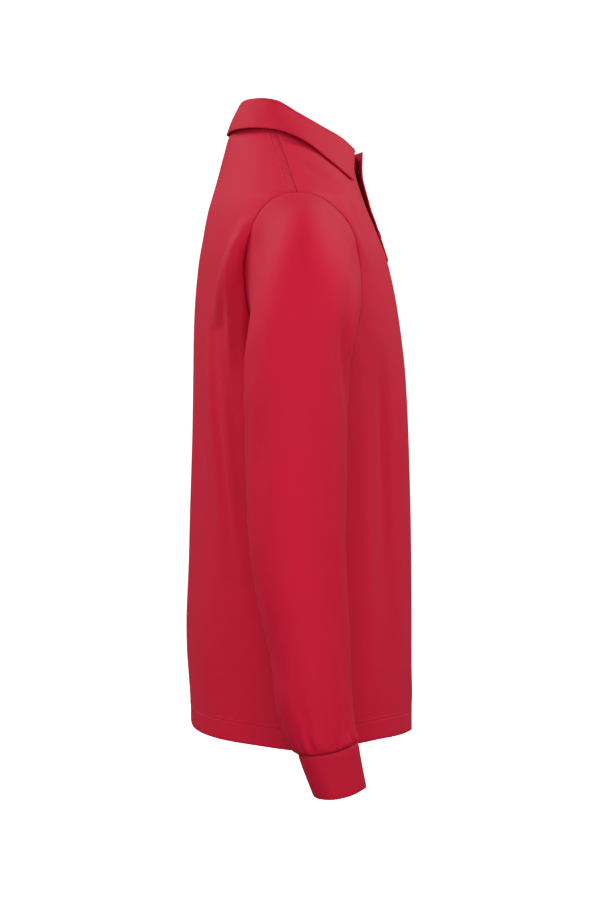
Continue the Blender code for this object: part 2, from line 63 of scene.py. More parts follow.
class Side(Enum):
    """A panel of the body, by the sign of its depth."""

    FRONT = -1
    BACK = 1

    @property
    def panel(self) -> str:
        """Return the name of the panel's CAD node."""
        return self.name.lower()


class Finish(Enum):
    """The material slots of the record."""

    COTTON = "red_cotton"
    RIB = "red_rib"
    BUTTON = "red_button"


# Shape of the shirt, the same numbers as the CAD model

BODY_KEYS = ("z", "half_width", "front", "back", "seam_y", "squareness")
BODY = (
    (-0.720, 0.203, 0.1315, 0.1275, 0.000, 2.35),
    (-0.640, 0.203, 0.1312, 0.1290, 0.000, 2.35),
    (-0.558, 0.201, 0.1311, 0.1313, 0.000, 2.35),
    (-0.487, 0.199, 0.1306, 0.1305, 0.000, 2.35),
    (-0.396, 0.198, 0.1287, 0.1280, 0.000, 2.35),
    (-0.293, 0.203, 0.1245, 0.1243, 0.000, 2.30),
    (-0.221, 0.212, 0.1165, 0.1220, 0.000, 2.25),
    (-0.155, 0.220, 0.1035, 0.1185, 0.000, 2.15),
    (-0.118, 0.2225, 0.0900, 0.1130, 0.001, 2.05),
    (-0.104, 0.2205, 0.0845, 0.1105, 0.002, 2.00),
    (-0.090, 0.215, 0.0785, 0.1075, 0.003, 1.95),
    (-0.081, 0.2015, 0.0755, 0.1050, 0.0055, 1.90),
    (-0.054, 0.161, 0.0670, 0.0975, 0.0130, 1.80),
    (-0.027, 0.1205, 0.0615, 0.0905, 0.0215, 1.75),
    (0.000, 0.080, 0.0540, 0.0825, 0.030, 1.75),
    (0.012, 0.062, 0.0500, 0.0740, 0.034, 1.80),
)
HEM_KEYS = ("angle", "front", "back")
HEM = (
    (0.0, -0.7035, -0.7035),
    (20.0, -0.6985, -0.6980),
    (45.0, -0.6945, -0.6945),
    (70.0, -0.6950, -0.6910),
    (90.0, -0.6985, -0.6850),
)
RING_KEYS = ("x", "y", "z", "half_width", "half_thick", "lean", "pitch")
SLEEVE = (
    (0.2100, -0.0020, -0.1935, 0.0655, 0.1037, 2.8, 0.0),
    (0.2210, -0.0045, -0.2000, 0.0620, 0.1000, 8.0, 0.0),
    (0.2350, -0.0050, -0.2125, 0.0595, 0.0944, 16.5, 0.0),
    (0.2460, -0.0038, -0.2310, 0.0570, 0.0872, 25.0, 0.0),
    (0.2530, 0.0000, -0.2585, 0.0545, 0.0773, 34.7, 0.0),
    (0.2560, 0.0042, -0.2925, 0.0540, 0.0670, 45.0, 0.0),
    (0.2560, 0.0040, -0.3325, 0.0554, 0.0582, 56.0, 0.0),
    (0.2543, 0.0040, -0.3750, 0.0550, 0.0518, 67.0, 0.0),
    (0.2523, 0.0038, -0.4200, 0.0543, 0.0478, 78.0, 0.0),
    (0.2500, 0.0026, -0.4735, 0.0526, 0.0451, 86.0, 0.0),
    (0.2480, -0.0021, -0.5300, 0.0494, 0.0430, 90.0, 0.0),
    (0.2460, -0.0104, -0.5900, 0.0437, 0.0395, 90.0, 3.0),
    (0.2445, -0.0163, -0.6400, 0.0403, 0.0365, 90.0, 6.0),
    (0.2430, -0.0240, -0.6800, 0.0370, 0.0320, 90.0, 10.0),
    (0.2425, -0.0300, -0.6945, 0.0345, 0.0285, 90.0, 12.0),
)
CUFF = (
    (0.2425, -0.0303, -0.6945, 0.0338, 0.0278, 90.0, 12.0),
    (0.2422, -0.0338, -0.7090, 0.0325, 0.0266, 90.0, 12.5),
    (0.2418, -0.0388, -0.7272, 0.0308, 0.0252, 90.0, 12.0),
    (0.2415, -0.0432, -0.7428, 0.0295, 0.0240, 90.0, 10.5),
)
COLLAR_KEYS = ("round_neck", "fold_x", "fold_y", "fold_z", "edge_x", "edge_y", "edge_z")
COLLAR = (
    (0.00, 0.0000, 0.0665, 0.0350, 0.0000, 0.0865, -0.0010),
    (0.22, 0.0390, 0.0605, 0.0352, 0.0480, 0.0785, -0.0010),
    (0.38, 0.0600, 0.0460, 0.0348, 0.0800, 0.0590, -0.0015),
    (0.50, 0.0690, 0.0280, 0.0315, 0.0965, 0.0300, -0.0050),
    (0.64, 0.0690, 0.0000, 0.0155, 0.1110, -0.0070, -0.0205),
    (0.77, 0.0610, -0.0265, 0.0015, 0.1105, -0.0330, -0.0405),
    (0.89, 0.0480, -0.0485, -0.0095, 0.0970, -0.0505, -0.0540),
    (1.00, 0.0320, -0.0640, -0.0210, 0.0770, -0.0622, -0.0618),
)
UNDERARM_Z = -0.297
SHOULDER_TIP_Z = -0.090
ARMHOLE_REACH = {Side.FRONT: 0.068, Side.BACK: 0.0635}
ARMHOLE_SQUARENESS = 2.3
NECK_HALF = 0.080
NECK_FRONT_Z = -0.027
NECK_BACK_Z = 0.007
NECK_CROWDING = 1.5
NECK_CENTRE_Y = 0.005
SLEEVE_SQUARENESS = 2.1
ARMHOLE_BLEND = 0.28
GATHER_FROM = 18.0 / 21.0
FOLD_TAPER = 0.8
CREASE_STEPS = 28
CREASE_WAVER, WAVER_TURN, WAVER_SHIFT = 0.0016, 7.0, 1.7
VARIED_LEAST = (-9.0, -0.012, 0.7, 0.8)
VARIED_MOST = (9.0, 0.004, 1.2, 1.3)
PLACKET_HALF = 0.016
PLACKET_LOW_Z = -0.150
PLACKET_TOP_Z = -0.0225
PLACKET_CLEAR = 0.0004
FLARE = 0.0080
FLARE_END_Z = -0.142
FLARE_CURL = 1.2
TOP_FLARE = 0.0050
TOP_FLARE_Z = -0.054

# Cloth and seams

BODY_CLOTH = 0.0014
COLLAR_CLOTH = 0.0015
CUFF_CLOTH = 0.0024
PLACKET_CLOTH = 0.0018
SEAM_HALF_GAP = 0.0004
SHOULDER_HALF_GAP = 0.0003
SLEEVE_GAP = 0.0003
CUFF_GAP = 0.0004
CUFF_DROOP = 0.0036
COLLAR_GAP = 0.0012


@dataclass(frozen=True)
class Fold:
    """A straight soft fold: a ridge above zero height, a trough below; angles in degrees."""

    top_angle: float
    top_z: float
    low_angle: float
    low_z: float
    width: float
    height: float


@dataclass(frozen=True)
class Crease:
    """A fine crease along a path of (angle in degrees, z) points.

    width is its half width on the side of smaller angles and far_width on the other one.
    peak is the part of the way along at which it is highest.
    """

    path: tuple[tuple[float, float], ...]
    width: float
    far_width: float
    height: float
    peak: float = 0.5


BODY_FOLDS = {
    Side.BACK: (
        Fold(60.0, -0.19, 33.0, -0.52, 0.013, 0.0045),
        Fold(47.0, -0.225, 22.0, -0.56, 0.012, 0.004),
        Fold(52.0, -0.215, 27.0, -0.54, 0.01, -0.003),
        Fold(31.0, -0.115, 47.0, -0.235, 0.016, 0.011),
        Fold(18.0, -0.235, 12.0, -0.47, 0.016, -0.005),
        Fold(128.0, -0.185, 151.0, -0.5, 0.014, 0.004),
        Fold(149.0, -0.12, 134.0, -0.23, 0.016, 0.009),
        Fold(165.0, -0.24, 168.0, -0.44, 0.016, -0.0045),
        Fold(96.0, -0.33, 100.0, -0.64, 0.026, -0.003),
    ),
    Side.FRONT: (
        Fold(46.0, -0.25, 45.0, -0.69, 0.022, -0.004),
        Fold(30.0, -0.29, 28.0, -0.7, 0.018, 0.003),
        Fold(138.0, -0.28, 133.0, -0.69, 0.024, -0.0035),
        Fold(152.0, -0.33, 155.0, -0.66, 0.018, 0.003),
        Fold(31.0, -0.045, 44.0, -0.175, 0.014, 0.0035),
        Fold(148.0, -0.05, 137.0, -0.165, 0.015, 0.003),
    ),
}
SLEEVE_FOLDS = (
    Fold(70.0, -0.175, 96.0, -0.33, 0.01, 0.004),
    Fold(62.0, -0.23, 80.0, -0.345, 0.009, -0.003),
    Fold(40.0, -0.15, 52.0, -0.3, 0.016, 0.0025),
    Fold(285.0, -0.19, 272.0, -0.34, 0.012, 0.003),
    Fold(320.0, -0.3, 300.0, -0.47, 0.016, -0.0025),
    Fold(288.0, -0.6, 275.0, -0.7, 0.009, 0.003),
    Fold(308.0, -0.615, 296.0, -0.705, 0.009, 0.0025),
    Fold(35.0, -0.47, 55.0, -0.64, 0.014, -0.002),
)

# Fine creases of each piece, in own sizes

BODY_CREASES = {
    Side.BACK: (
        Crease(((58.0, -0.2), (49.0, -0.3), (41.0, -0.42), (36.0, -0.52)), 0.006, 0.011, 0.0016,
               0.35),
        Crease(((44.0, -0.25), (37.0, -0.33), (30.0, -0.44), (25.0, -0.56)), 0.005, 0.009, 0.0015,
               0.4),
        Crease(((29.0, -0.122), (31.5, -0.15), (34.0, -0.2), (34.5, -0.26), (32.0, -0.33)), 0.006,
               0.012, 0.009, 0.45),
        Crease(((27.5, -0.112), (26.5, -0.16), (25.0, -0.21), (23.5, -0.26), (20.0, -0.32), (17.0,
               -0.4)), 0.012, 0.0078, -0.03, 0.42),
        Crease(((66.0, -0.26), (60.0, -0.38), (57.0, -0.5)), 0.012, 0.015, -0.0022, 0.4),
        Crease(((38.0, -0.56), (34.0, -0.63), (33.0, -0.69)), 0.013, 0.01, -0.0009, 0.7),
        Crease(((75.0, -0.03), (68.0, -0.09), (60.0, -0.15)), 0.011, 0.016, 0.0009, 0.4),
        Crease(((130.0, -0.2), (138.0, -0.3), (146.0, -0.42)), 0.01, 0.007, 0.0032, 0.4),
        Crease(((118.0, -0.26), (124.0, -0.39), (125.0, -0.52)), 0.009, 0.01, -0.004, 0.5),
        Crease(((146.0, -0.13), (140.0, -0.17), (135.0, -0.21)), 0.006, 0.009, 0.0026, 0.5),
        Crease(((105.0, -0.04), (112.0, -0.1), (121.0, -0.155)), 0.015, 0.01, 0.0018, 0.6),
        Crease(((86.0, -0.12), (89.0, -0.24), (84.0, -0.38)), 0.017, 0.022, 0.0027, 0.4),
        Crease(((78.0, -0.48), (82.0, -0.58), (79.0, -0.68)), 0.014, 0.018, 0.0028, 0.6),
        Crease(((110.0, -0.5), (113.0, -0.6), (117.0, -0.69)), 0.01, 0.009, 0.004, 0.6),
    ),
    Side.FRONT: (
        Crease(((15.0, -0.036), (29.0, -0.056), (41.0, -0.084), (46.0, -0.11), (50.0, -0.145)),
               0.007, 0.008, 0.0048, 0.55),
        Crease(((13.0, -0.046), (20.0, -0.058), (28.0, -0.071)), 0.004, 0.004, -0.0034, 0.4),
        Crease(((24.0, -0.19), (31.0, -0.235), (34.0, -0.29)), 0.006, 0.009, -0.0014, 0.3),
        Crease(((31.0, -0.126), (34.5, -0.148), (36.5, -0.176)), 0.004, 0.006, -0.005, 0.5),
        Crease(((44.0, -0.24), (46.0, -0.34), (47.0, -0.48), (45.0, -0.64)), 0.013, 0.012, -0.005,
               0.4),
        Crease(((62.0, -0.21), (63.0, -0.33), (66.0, -0.46), (64.0, -0.61)), 0.014, 0.018, 0.0028,
               0.4),
        Crease(((52.0, -0.23), (50.0, -0.4), (51.0, -0.56)), 0.012, 0.018, 0.0011, 0.4),
        Crease(((38.0, -0.4), (40.0, -0.52), (39.0, -0.67)), 0.015, 0.01, -0.0012, 0.6),
        Crease(((66.0, -0.3), (68.0, -0.43), (64.0, -0.59)), 0.018, 0.014, -0.0016, 0.5),
        Crease(((90.0, -0.165), (92.0, -0.26), (88.0, -0.4)), 0.009, 0.011, -0.0038, 0.3),
        Crease(((112.0, -0.2), (109.0, -0.33), (113.0, -0.5)), 0.009, 0.013, 0.0042, 0.5),
        Crease(((147.0, -0.065), (143.0, -0.115), (138.0, -0.155)), 0.01, 0.008, 0.0026, 0.5),
        Crease(((154.0, -0.2), (149.0, -0.245), (146.0, -0.3)), 0.009, 0.007, -0.0028, 0.3),
        Crease(((128.0, -0.43), (126.0, -0.54), (129.0, -0.68)), 0.008, 0.012, 0.0038, 0.6),
        Crease(((96.0, -0.52), (99.0, -0.6), (97.0, -0.69)), 0.009, 0.012, 0.0036, 0.7),
        Crease(((76.0, -0.56), (74.0, -0.62), (77.0, -0.69)), 0.015, 0.011, 0.0023, 0.7),
    ),
}
SLEEVE_CREASES = (
    Crease(((47.0, -0.664), (44.0, -0.68), (40.0, -0.696)), 0.0022, 0.003, -0.0022, 0.8),
    Crease(((70.0, -0.658), (64.0, -0.674), (59.0, -0.692)), 0.0024, 0.0034, 0.0017, 0.75),
    Crease(((18.0, -0.668), (21.0, -0.682), (22.0, -0.698)), 0.003, 0.0024, -0.0016, 0.8),
    Crease(((352.0, -0.655), (348.0, -0.675), (347.0, -0.698)), 0.0034, 0.0028, 0.0013, 0.7),
    Crease(((66.0, -0.185), (74.0, -0.235), (84.0, -0.29), (92.0, -0.33)), 0.004, 0.006, 0.0014,
           0.5),
    Crease(((58.0, -0.215), (63.0, -0.26), (70.0, -0.32)), 0.006, 0.005, -0.001, 0.5),
    Crease(((20.0, -0.18), (26.0, -0.26), (24.0, -0.36)), 0.014, 0.01, 0.0009, 0.4),
    Crease(((350.0, -0.23), (345.0, -0.33), (341.0, -0.45)), 0.012, 0.015, -0.0008, 0.5),
    Crease(((300.0, -0.36), (296.0, -0.45), (300.0, -0.56)), 0.008, 0.012, 0.001, 0.5),
    Crease(((60.0, -0.4), (55.0, -0.5), (62.0, -0.59)), 0.011, 0.008, 0.0009, 0.4),
    Crease(((15.0, -0.5), (8.0, -0.58), (12.0, -0.66)), 0.012, 0.01, 0.001, 0.6),
    Crease(((330.0, -0.54), (322.0, -0.62), (318.0, -0.68)), 0.008, 0.006, 0.0012, 0.7),
    Crease(((345.0, -0.6), (340.0, -0.645), (338.0, -0.688)), 0.006, 0.007, -0.0009, 0.7),
    Crease(((284.0, -0.61), (278.0, -0.655), (274.0, -0.69)), 0.004, 0.006, 0.0012, 0.6),
    Crease(((40.0, -0.62), (36.0, -0.655), (38.0, -0.69)), 0.006, 0.005, -0.0009, 0.8),
    Crease(((90.0, -0.48), (94.0, -0.57), (88.0, -0.66)), 0.009, 0.012, 0.0008, 0.5),
    Crease(((150.0, -0.33), (156.0, -0.43), (149.0, -0.56)), 0.012, 0.009, -0.0012, 0.4),
    Crease(((205.0, -0.35), (199.0, -0.46), (206.0, -0.6)), 0.01, 0.013, 0.0011, 0.5),
    Crease(((120.0, -0.6), (124.0, -0.65), (121.0, -0.69)), 0.006, 0.008, 0.001, 0.7),
    Crease(((240.0, -0.56), (236.0, -0.63), (241.0, -0.69)), 0.008, 0.006, 0.0011, 0.7),
)


class SmoothCurve:
    """A curve through points that never overshoots between them."""

    def __init__(self, xs: Sequence[float], ys: Sequence[float]) -> None:
        """Work out a tangent at each point from the slopes beside it."""
        self.xs, self.ys = np.asarray(xs, float), np.asarray(ys, float)
        self.steps = np.diff(self.xs)
        slopes = np.diff(self.ys) / self.steps
        near = 2.0 * self.steps[1:] + self.steps[:-1]
        far = self.steps[1:] + 2.0 * self.steps[:-1]
        rising = slopes[:-1] * slopes[1:] > 0.0
        left = np.where(rising, slopes[:-1], 1.0)
        right = np.where(rising, slopes[1:], 1.0)
        middle = np.where(rising, (near + far) / (near / left + far / right), 0.0)
        self.tangents = np.concatenate([slopes[:1], middle, slopes[-1:]])

    def __call__(self, x: Array | float) -> Array:
        """Return the curve's heights at x."""
        x = np.asarray(x, float)
        i = np.clip(np.searchsorted(self.xs, x) - 1, 0, len(self.steps) - 1)
        t = np.clip((x - self.xs[i]) / self.steps[i], 0.0, 1.0)
        leave = t * (1.0 - t) ** 2 * self.tangents[i]
        arrive = t * t * (t - 1.0) * self.tangents[i + 1]
        rise = smooth_step(t) * (self.ys[i + 1] - self.ys[i])
        return self.ys[i] + rise + self.steps[i] * (leave + arrive)


def curves_of(keys: Sequence[str], rows: Table, over: Array | None = None) -> Curves:
    """Make a curve for each column of a table.

    Args:
        keys: names of the columns.
        rows: the table.
        over: positions of the rows; the first column if left out.

    Returns:
        A curve for each column name.
    """
    columns = np.array(rows, float).T
    places = columns[0] if over is None else over
    return {key: SmoothCurve(places, column) for key, column in zip(keys, columns)}


def signed_power(value: Array, power: Array | float) -> Array:
    """Raise the size of a value to a power and keep its sign."""
    return np.sign(value) * np.abs(value) ** power


def smooth_step(value: Array) -> Array:
    """Ease from 0 to 1 over the same range."""
    t = np.clip(value, 0.0, 1.0)
    return t * t * (3.0 - 2.0 * t)


def unit(vectors: Array) -> Array:
    """Scale vectors to length one."""
    return vectors / np.maximum(np.linalg.norm(vectors, axis=-1, keepdims=True), TINY)


def full_circle(count: int) -> Array:
    """Return even angles round a circle."""
    return np.arange(count) * 2.0 * pi / count


def arc(start: Array | float, angle: Array, radius: Array | float) -> Array:
    """Return the shorter arc from one angle to another, both in degrees."""
    return np.radians((angle - start + 180.0) % 360.0 - 180.0) * radius


def fold_heights(folds: Sequence[Fold], angle: Array, z: Array, radius: Array) -> Array:
    """Sum straight folds: each is its height times a bell across it and a sine arch along it."""
    total = np.zeros(np.broadcast(angle, z).shape)
    for fold in folds:
        along = np.clip((fold.top_z - z) / (fold.top_z - fold.low_z), 0.0, 1.0)
        middle = fold.top_angle + (fold.low_angle - fold.top_angle) * along
        across = arc(middle, angle, radius) / fold.width
        total = total + fold.height * np.exp(-across * across) * np.sin(pi * along) ** FOLD_TAPER
    return total


def crease_heights(creases: Sequence[Crease], angle: Array, z: Array, radius: float) -> Array:
    """Sum fine creases over a surface unrolled to (angle times radius, height).

    Each crease is its height times a bell of the distance to its path, with its own width
    on each side, times an arch along the path that is highest at its peak. The path wavers.
    """
    total = np.zeros(np.broadcast(angle, z).shape)
    t = np.linspace(0.0, 1.0, CREASE_STEPS)
    for number, crease in enumerate(creases):
        points = np.array(crease.path, float)
        places = np.linspace(0.0, 1.0, len(points))
        path_angle, path_z = (SmoothCurve(places, column)(t) for column in points.T)
        waver = CREASE_WAVER * np.sin(pi * t) * np.sin(WAVER_TURN * t + WAVER_SHIFT * number)
        best, part, sign = np.full(total.shape, FAR), np.zeros(total.shape), np.ones(total.shape)
        slope_u, slope_z = np.gradient(np.radians(path_angle) * radius), np.gradient(path_z)
        length = np.hypot(slope_u, slope_z)
        for k in range(CREASE_STEPS):
            du = arc(path_angle[k], angle, radius) - waver[k]
            dz = z - path_z[k]
            ahead = (du * slope_u[k] + dz * slope_z[k]) / length[k]
            aside = (dz * slope_u[k] - du * slope_z[k]) / length[k]
            gap = aside ** 2 + np.maximum(np.abs(ahead) - 0.5 * length[k], 0.0) ** 2
            nearer = gap < best
            best = np.where(nearer, gap, best)
            shift = np.clip(ahead / length[k], -0.5, 0.5) / (CREASE_STEPS - 1)
            part = np.where(nearer, t[k] + shift, part)
            sign = np.where(nearer, np.sign(du + TINY), sign)
        width = np.where(sign < 0.0, crease.width, crease.far_width)
        before = np.clip(part / crease.peak, 0.0, 1.0)
        after = np.clip((1.0 - part) / (1.0 - crease.peak), 0.0, 1.0)
        arch = smooth_step(np.minimum(before, after))
        total = total + crease.height * np.exp(-best / width ** 2) * arch
    return total


def varied(creases: Sequence[Crease], seed: int) -> tuple[Crease, ...]:
    """Return like creases for the other side, each in a place and size of its own.

    The draws are a turn, a rise, a factor of the height and one of the widths.
    """
    draw = np.random.default_rng(seed)
    result = []
    for crease in creases:
        turn, rise, scale, wide = draw.uniform(VARIED_LEAST, VARIED_MOST)
        path = tuple((angle + turn, z + rise) for angle, z in crease.path)
        result.append(Crease(path, crease.width * wide, crease.far_width * wide,
                             crease.height * scale, crease.peak))
    return tuple(result)


class BodyForm:
    """The outer face of the body: superellipse sections with folds and creases."""

    CREASE_RADIUS = 0.165
    CALM_SIDE = 9.0
    CALM_BAND = 16.0
    BAND_START = 0.6
    BAND_DROP, BAND_FADE = 0.004, 0.030
    TURN_STEP, RISE_STEP = 0.004, 0.001

    def __init__(self) -> None:
        """Make the curves of the sections and the hem."""
        self.curves = curves_of(BODY_KEYS, BODY)
        self.hem = curves_of(HEM_KEYS, HEM)

    def depth(self, z: Array, side: Side) -> Array:
        """Return how far a panel's centre stands from the side seams."""
        return self.curves[side.panel](z) - side.value * self.curves["seam_y"](z)

    def point(self, angle: Array, z: Array, side: Side, lift: Array | float = 0.0) -> Array:
        """Find points of the face at angles (radians) and heights on a panel.

        A section is the superellipse |x / half_width|^n + |y / depth|^n = 1; folds, creases
        and lift move a point out along the section's own normal.

        Args:
            angle: 0 at the wearer's right side seam, pi at the left one.
            z: heights.
            side: the panel.
            lift: distance out of the face.

        Returns:
            Points, with one more axis than angle.
        """
        angle, z = np.broadcast_arrays(np.asarray(angle, float), np.asarray(z, float))
        width = self.curves["half_width"](z)
        depth = self.depth(z, side)
        power = 2.0 / self.curves["squareness"](z)
        x_part = signed_power(np.cos(angle), power)
        y_part = np.abs(np.sin(angle)) ** power
        x = -width * x_part
        y = self.curves["seam_y"](z) + side.value * depth * y_part
        out_x = -signed_power(x_part, 2.0 / power - 1.0) / width
        out_y = side.value * y_part ** (2.0 / power - 1.0) / depth
        size = np.hypot(out_x, out_y)
        degrees = np.degrees(angle)
        out = lift + fold_heights(BODY_FOLDS[side], degrees, z, 0.5 * (width + depth))
        fine = crease_heights(BODY_CREASES[side], degrees, z, self.CREASE_RADIUS)
        out = out + fine * self.seam_calm(angle, z, side)
        return np.stack([x + out * out_x / size, y + out * out_y / size, z], axis=-1)

    def seam_calm(self, angle: Array, z: Array, side: Side) -> Array:
        """Return 0 at the side seams and the placket, and 1 away from them."""
        calm = smooth_step(np.minimum(angle, pi - angle) / np.radians(self.CALM_SIDE))
        if side is Side.FRONT:
            beside = np.abs(angle - 0.5 * pi) / np.radians(self.CALM_BAND)
            below = (PLACKET_LOW_Z - self.BAND_DROP - z) / self.BAND_FADE
            calm = calm * np.maximum(smooth_step(beside - self.BAND_START), smooth_step(below))
        return calm

    def angle_at_x(self, x: Array | float, z: Array | float) -> Array:
        """Return the angle at which the body is x to the right of the centre."""
        ratio = np.clip(x / self.curves["half_width"](z), 0.0, 1.0)
        return np.arccos(ratio ** (self.curves["squareness"](z) / 2.0))

    def angle_at_reach(self, reach: Array | float, z: Array, side: Side) -> Array:
        """Return the angle at which a panel has come a distance forward or back."""
        ratio = np.clip(reach / self.depth(z, side), 0.0, 1.0)
        return np.arcsin(ratio ** (self.curves["squareness"](z) / 2.0))

    def x_at_angle(self, angle: Array, z: Array) -> Array:
        """Return how far to the right of the centre the body is at an angle."""
        power = 2.0 / self.curves["squareness"](z)
        return self.curves["half_width"](z) * np.cos(angle) ** power

    def armhole(self, turn: Array, side: Side) -> tuple[Array, Array]:
        """Return angle and height of the armhole at turns from its top (0) down (pi)."""
        power = 2.0 / ARMHOLE_SQUARENESS
        middle = 0.5 * (SHOULDER_TIP_Z + UNDERARM_Z)
        half = 0.5 * (SHOULDER_TIP_Z - UNDERARM_Z)
        z = middle + half * signed_power(np.cos(turn), power)
        reach = ARMHOLE_REACH[side] * np.abs(np.sin(turn)) ** power
        return self.angle_at_reach(reach, z, side), z

    def neckline(self, part: Array, side: Side) -> tuple[Array, Array]:
        """Return angle and height of the neckline, from its centre (0) to the side (1)."""
        if side is Side.FRONT:
            swing = 0.5 * pi * (1.0 - (1.0 - part) ** NECK_CROWDING)
            z = NECK_FRONT_Z * np.cos(swing)
            return self.angle_at_x(NECK_HALF * np.sin(swing), z), z
        swing = 0.5 * pi * part
        return 0.5 * pi - swing, NECK_BACK_Z * np.cos(swing)

    def front_part_at(self, x: float) -> float:
        """Return the part of the way along the front neckline that is x from the centre."""
        swing = np.arcsin(x / NECK_HALF)
        return 1.0 - (1.0 - 2.0 * swing / pi) ** (1.0 / NECK_CROWDING)

    def normal(self, angle: Array, z: Array, side: Side) -> Array:
        """Return outward unit normals, from small steps round and up the face."""
        turn, rise = self.TURN_STEP, self.RISE_STEP
        across = self.point(angle + turn, z, side) - self.point(angle - turn, z, side)
        up = self.point(angle, z + rise, side) - self.point(angle, z - rise, side)
        normals = unit(np.cross(across, up))
        middle = np.stack([np.zeros_like(z), self.curves["seam_y"](z), z], axis=-1)
        outward = self.point(angle, z, side) - middle
        return normals * np.sign((normals * outward).sum(-1, keepdims=True))


def fill_patch(bottom: Array, top: Array, left: Array, right: Array) -> Array:
    """Fill four edges of (x, z) pairs with a Coons patch whose rows crowd as the left edge's."""
    across = np.linspace(0.0, 1.0, len(bottom))[None, :, None]
    up = ((left[:, 1] - left[0, 1]) / (left[-1, 1] - left[0, 1]))[:, None, None]
    rows = (1.0 - up) * bottom[None] + up * top[None]
    columns = (1.0 - across) * left[:, None] + across * right[:, None]
    low, high = ((1.0 - across) * edge[0] + across * edge[-1] for edge in (bottom, top))
    return rows + columns - ((1.0 - up) * low + up * high)


def distance_to_paths(points: Array, *paths: Array) -> Array:
    """Return each point's distance to the nearest segment of polylines."""
    flat = points.reshape(-1, 3)
    best = np.full(len(flat), FAR)
    for path in paths:
        for start, stop in zip(path[:-1], path[1:]):
            line = stop - start
            t = np.clip((flat - start) @ line / max(line @ line, TINIEST), 0.0, 1.0)
            best = np.minimum(best, np.linalg.norm(flat - start - t[:, None] * line, axis=1))
    return best.reshape(points.shape[:-1])


def lengths_along(points: Array, axis: int) -> Array:
    """Return lengths from the first row or column of a grid of points, along an axis."""
    steps = np.linalg.norm(np.diff(points, axis=axis), axis=-1)
    pad = [(0, 0), (0, 0)]
    pad[axis] = (1, 0)
    return np.cumsum(np.pad(steps, pad), axis=axis)


def ring_quads(rings: int, sides: int) -> Array:
    """Return the quads between rings of a tube, as vertex numbers."""
    i, j = np.mgrid[0:rings - 1, 0:sides]
    low, high, after = i * sides, (i + 1) * sides, (j + 1) % sides
    return np.stack([low + j, low + after, high + after, high + j], axis=-1).reshape(-1, 4)


def end_caps(rings: int, sides: int) -> list[list[int]]:
    """Return the faces that close both ends of a tube."""
    last = rings * sides
    return [list(range(sides - 1, -1, -1)), list(range(last - sides, last))]


def add_item(name: str, points: Array, faces: Faces, material: Material) -> Item:
    """Make a smooth mesh object in the scene."""
    mesh = bpy.data.meshes.new(name)
    mesh.from_pydata(points.reshape(-1, 3).tolist(), [], faces)
    mesh.shade_smooth()
    mesh.materials.append(material)
    item = bpy.data.objects.new(name, mesh)
    bpy.context.scene.collection.objects.link(item)
    return item


def add_piece(name: str, points: Array, faces: Faces, material: Material) -> Item:
    """Make a mesh piece of the shirt.

    Args:
        name: the piece's name.
        points: its vertices.
        faces: their numbers, face by face.
        material: its look.

    Returns:
        The object, riding on the root body.
    """
    item = add_item(name, points, faces, material)
    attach(item, "root")
    return item


@dataclass(frozen=True)
class Cut:
    """The size that a piece of cloth was cut to: a rectangle and its true area."""

    width: float
    length: float
    area: float


CUTS = {
    "front": Cut(0.56, 0.71, 0.345),
    "back": Cut(0.56, 0.73, 0.375),
    "sleeve": Cut(0.42, 0.62, 0.185),
    "cuff": Cut(0.21, 0.052, 0.0105),
    "collar": Cut(0.47, 0.085, 0.036),
    "placket": Cut(0.033, 0.130, 0.0042),
}


@dataclass
class ClothGrid:
    """A grid of points that becomes one piece of cloth, named after its CAD node.

    u and v are lengths along and up the cloth, for its knit; u has one column more than the
    points where the grid is closed. marks are named distances kept for the material.
    """

    name: str
    points: Array
    u: Array
    v: Array
    thickness: float
    marks: dict[str, Array]
    closed: bool = False
    flip: bool = False
    keep: Array | None = None

    RIM_SHARE, RIM_ANGLE, RIM_SEGMENTS = 0.3, 62.0, 2

    def corners(self) -> tuple[Array, Array]:
        """Return the rows and the columns of each quad's corners."""
        rows, columns = self.points.shape[:2]
        row, column = np.mgrid[0:rows - 1, 0:columns if self.closed else columns - 1]
        if self.keep is not None:
            row, column = row[self.keep], column[self.keep]
        row, column = row.reshape(-1, 1), column.reshape(-1, 1)
        row, column = row + [0, 0, 1, 1], column + [0, 1, 1, 0]
        return (row[:, ::-1], column[:, ::-1]) if self.flip else (row, column)

    def build(self, material: Material, finish: Finish, cut: Cut) -> Item:
        """Make the mesh object with its UV map, marks, thickness and rounded rim.

        Args:
            material: the cloth's material.
            finish: not used.
            cut: not used.

        Returns:
            The object, which stands for its CAD node.
        """
        row, column = self.corners()
        columns = self.points.shape[1]
        used, numbers = np.unique(row * columns + column % columns, return_inverse=True)
        item = add_piece(self.name + CLOTH_SUFFIX, self.points.reshape(-1, 3)[used],
                         numbers.reshape(row.shape).tolist(), material)
        layer = item.data.uv_layers.new(name="cloth")
        uv = np.stack([self.u[row, column], self.v[row, column % columns]], axis=-1)
        layer.data.foreach_set("uv", uv.ravel())
        for mark, values in self.marks.items():
            attribute = item.data.attributes.new(mark, "FLOAT", "POINT")
            attribute.data.foreach_set("value", values.ravel()[used].astype(np.float32))
        shell = item.modifiers.new("thickness", "SOLIDIFY")
        shell.thickness = self.thickness
        shell.offset = -1.0
        rim = item.modifiers.new("rim", "BEVEL")
        rim.width = self.RIM_SHARE * self.thickness
        rim.segments = self.RIM_SEGMENTS
        rim.limit_method = "ANGLE"
        rim.angle_limit = np.radians(self.RIM_ANGLE)
        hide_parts(self.name)
        return item


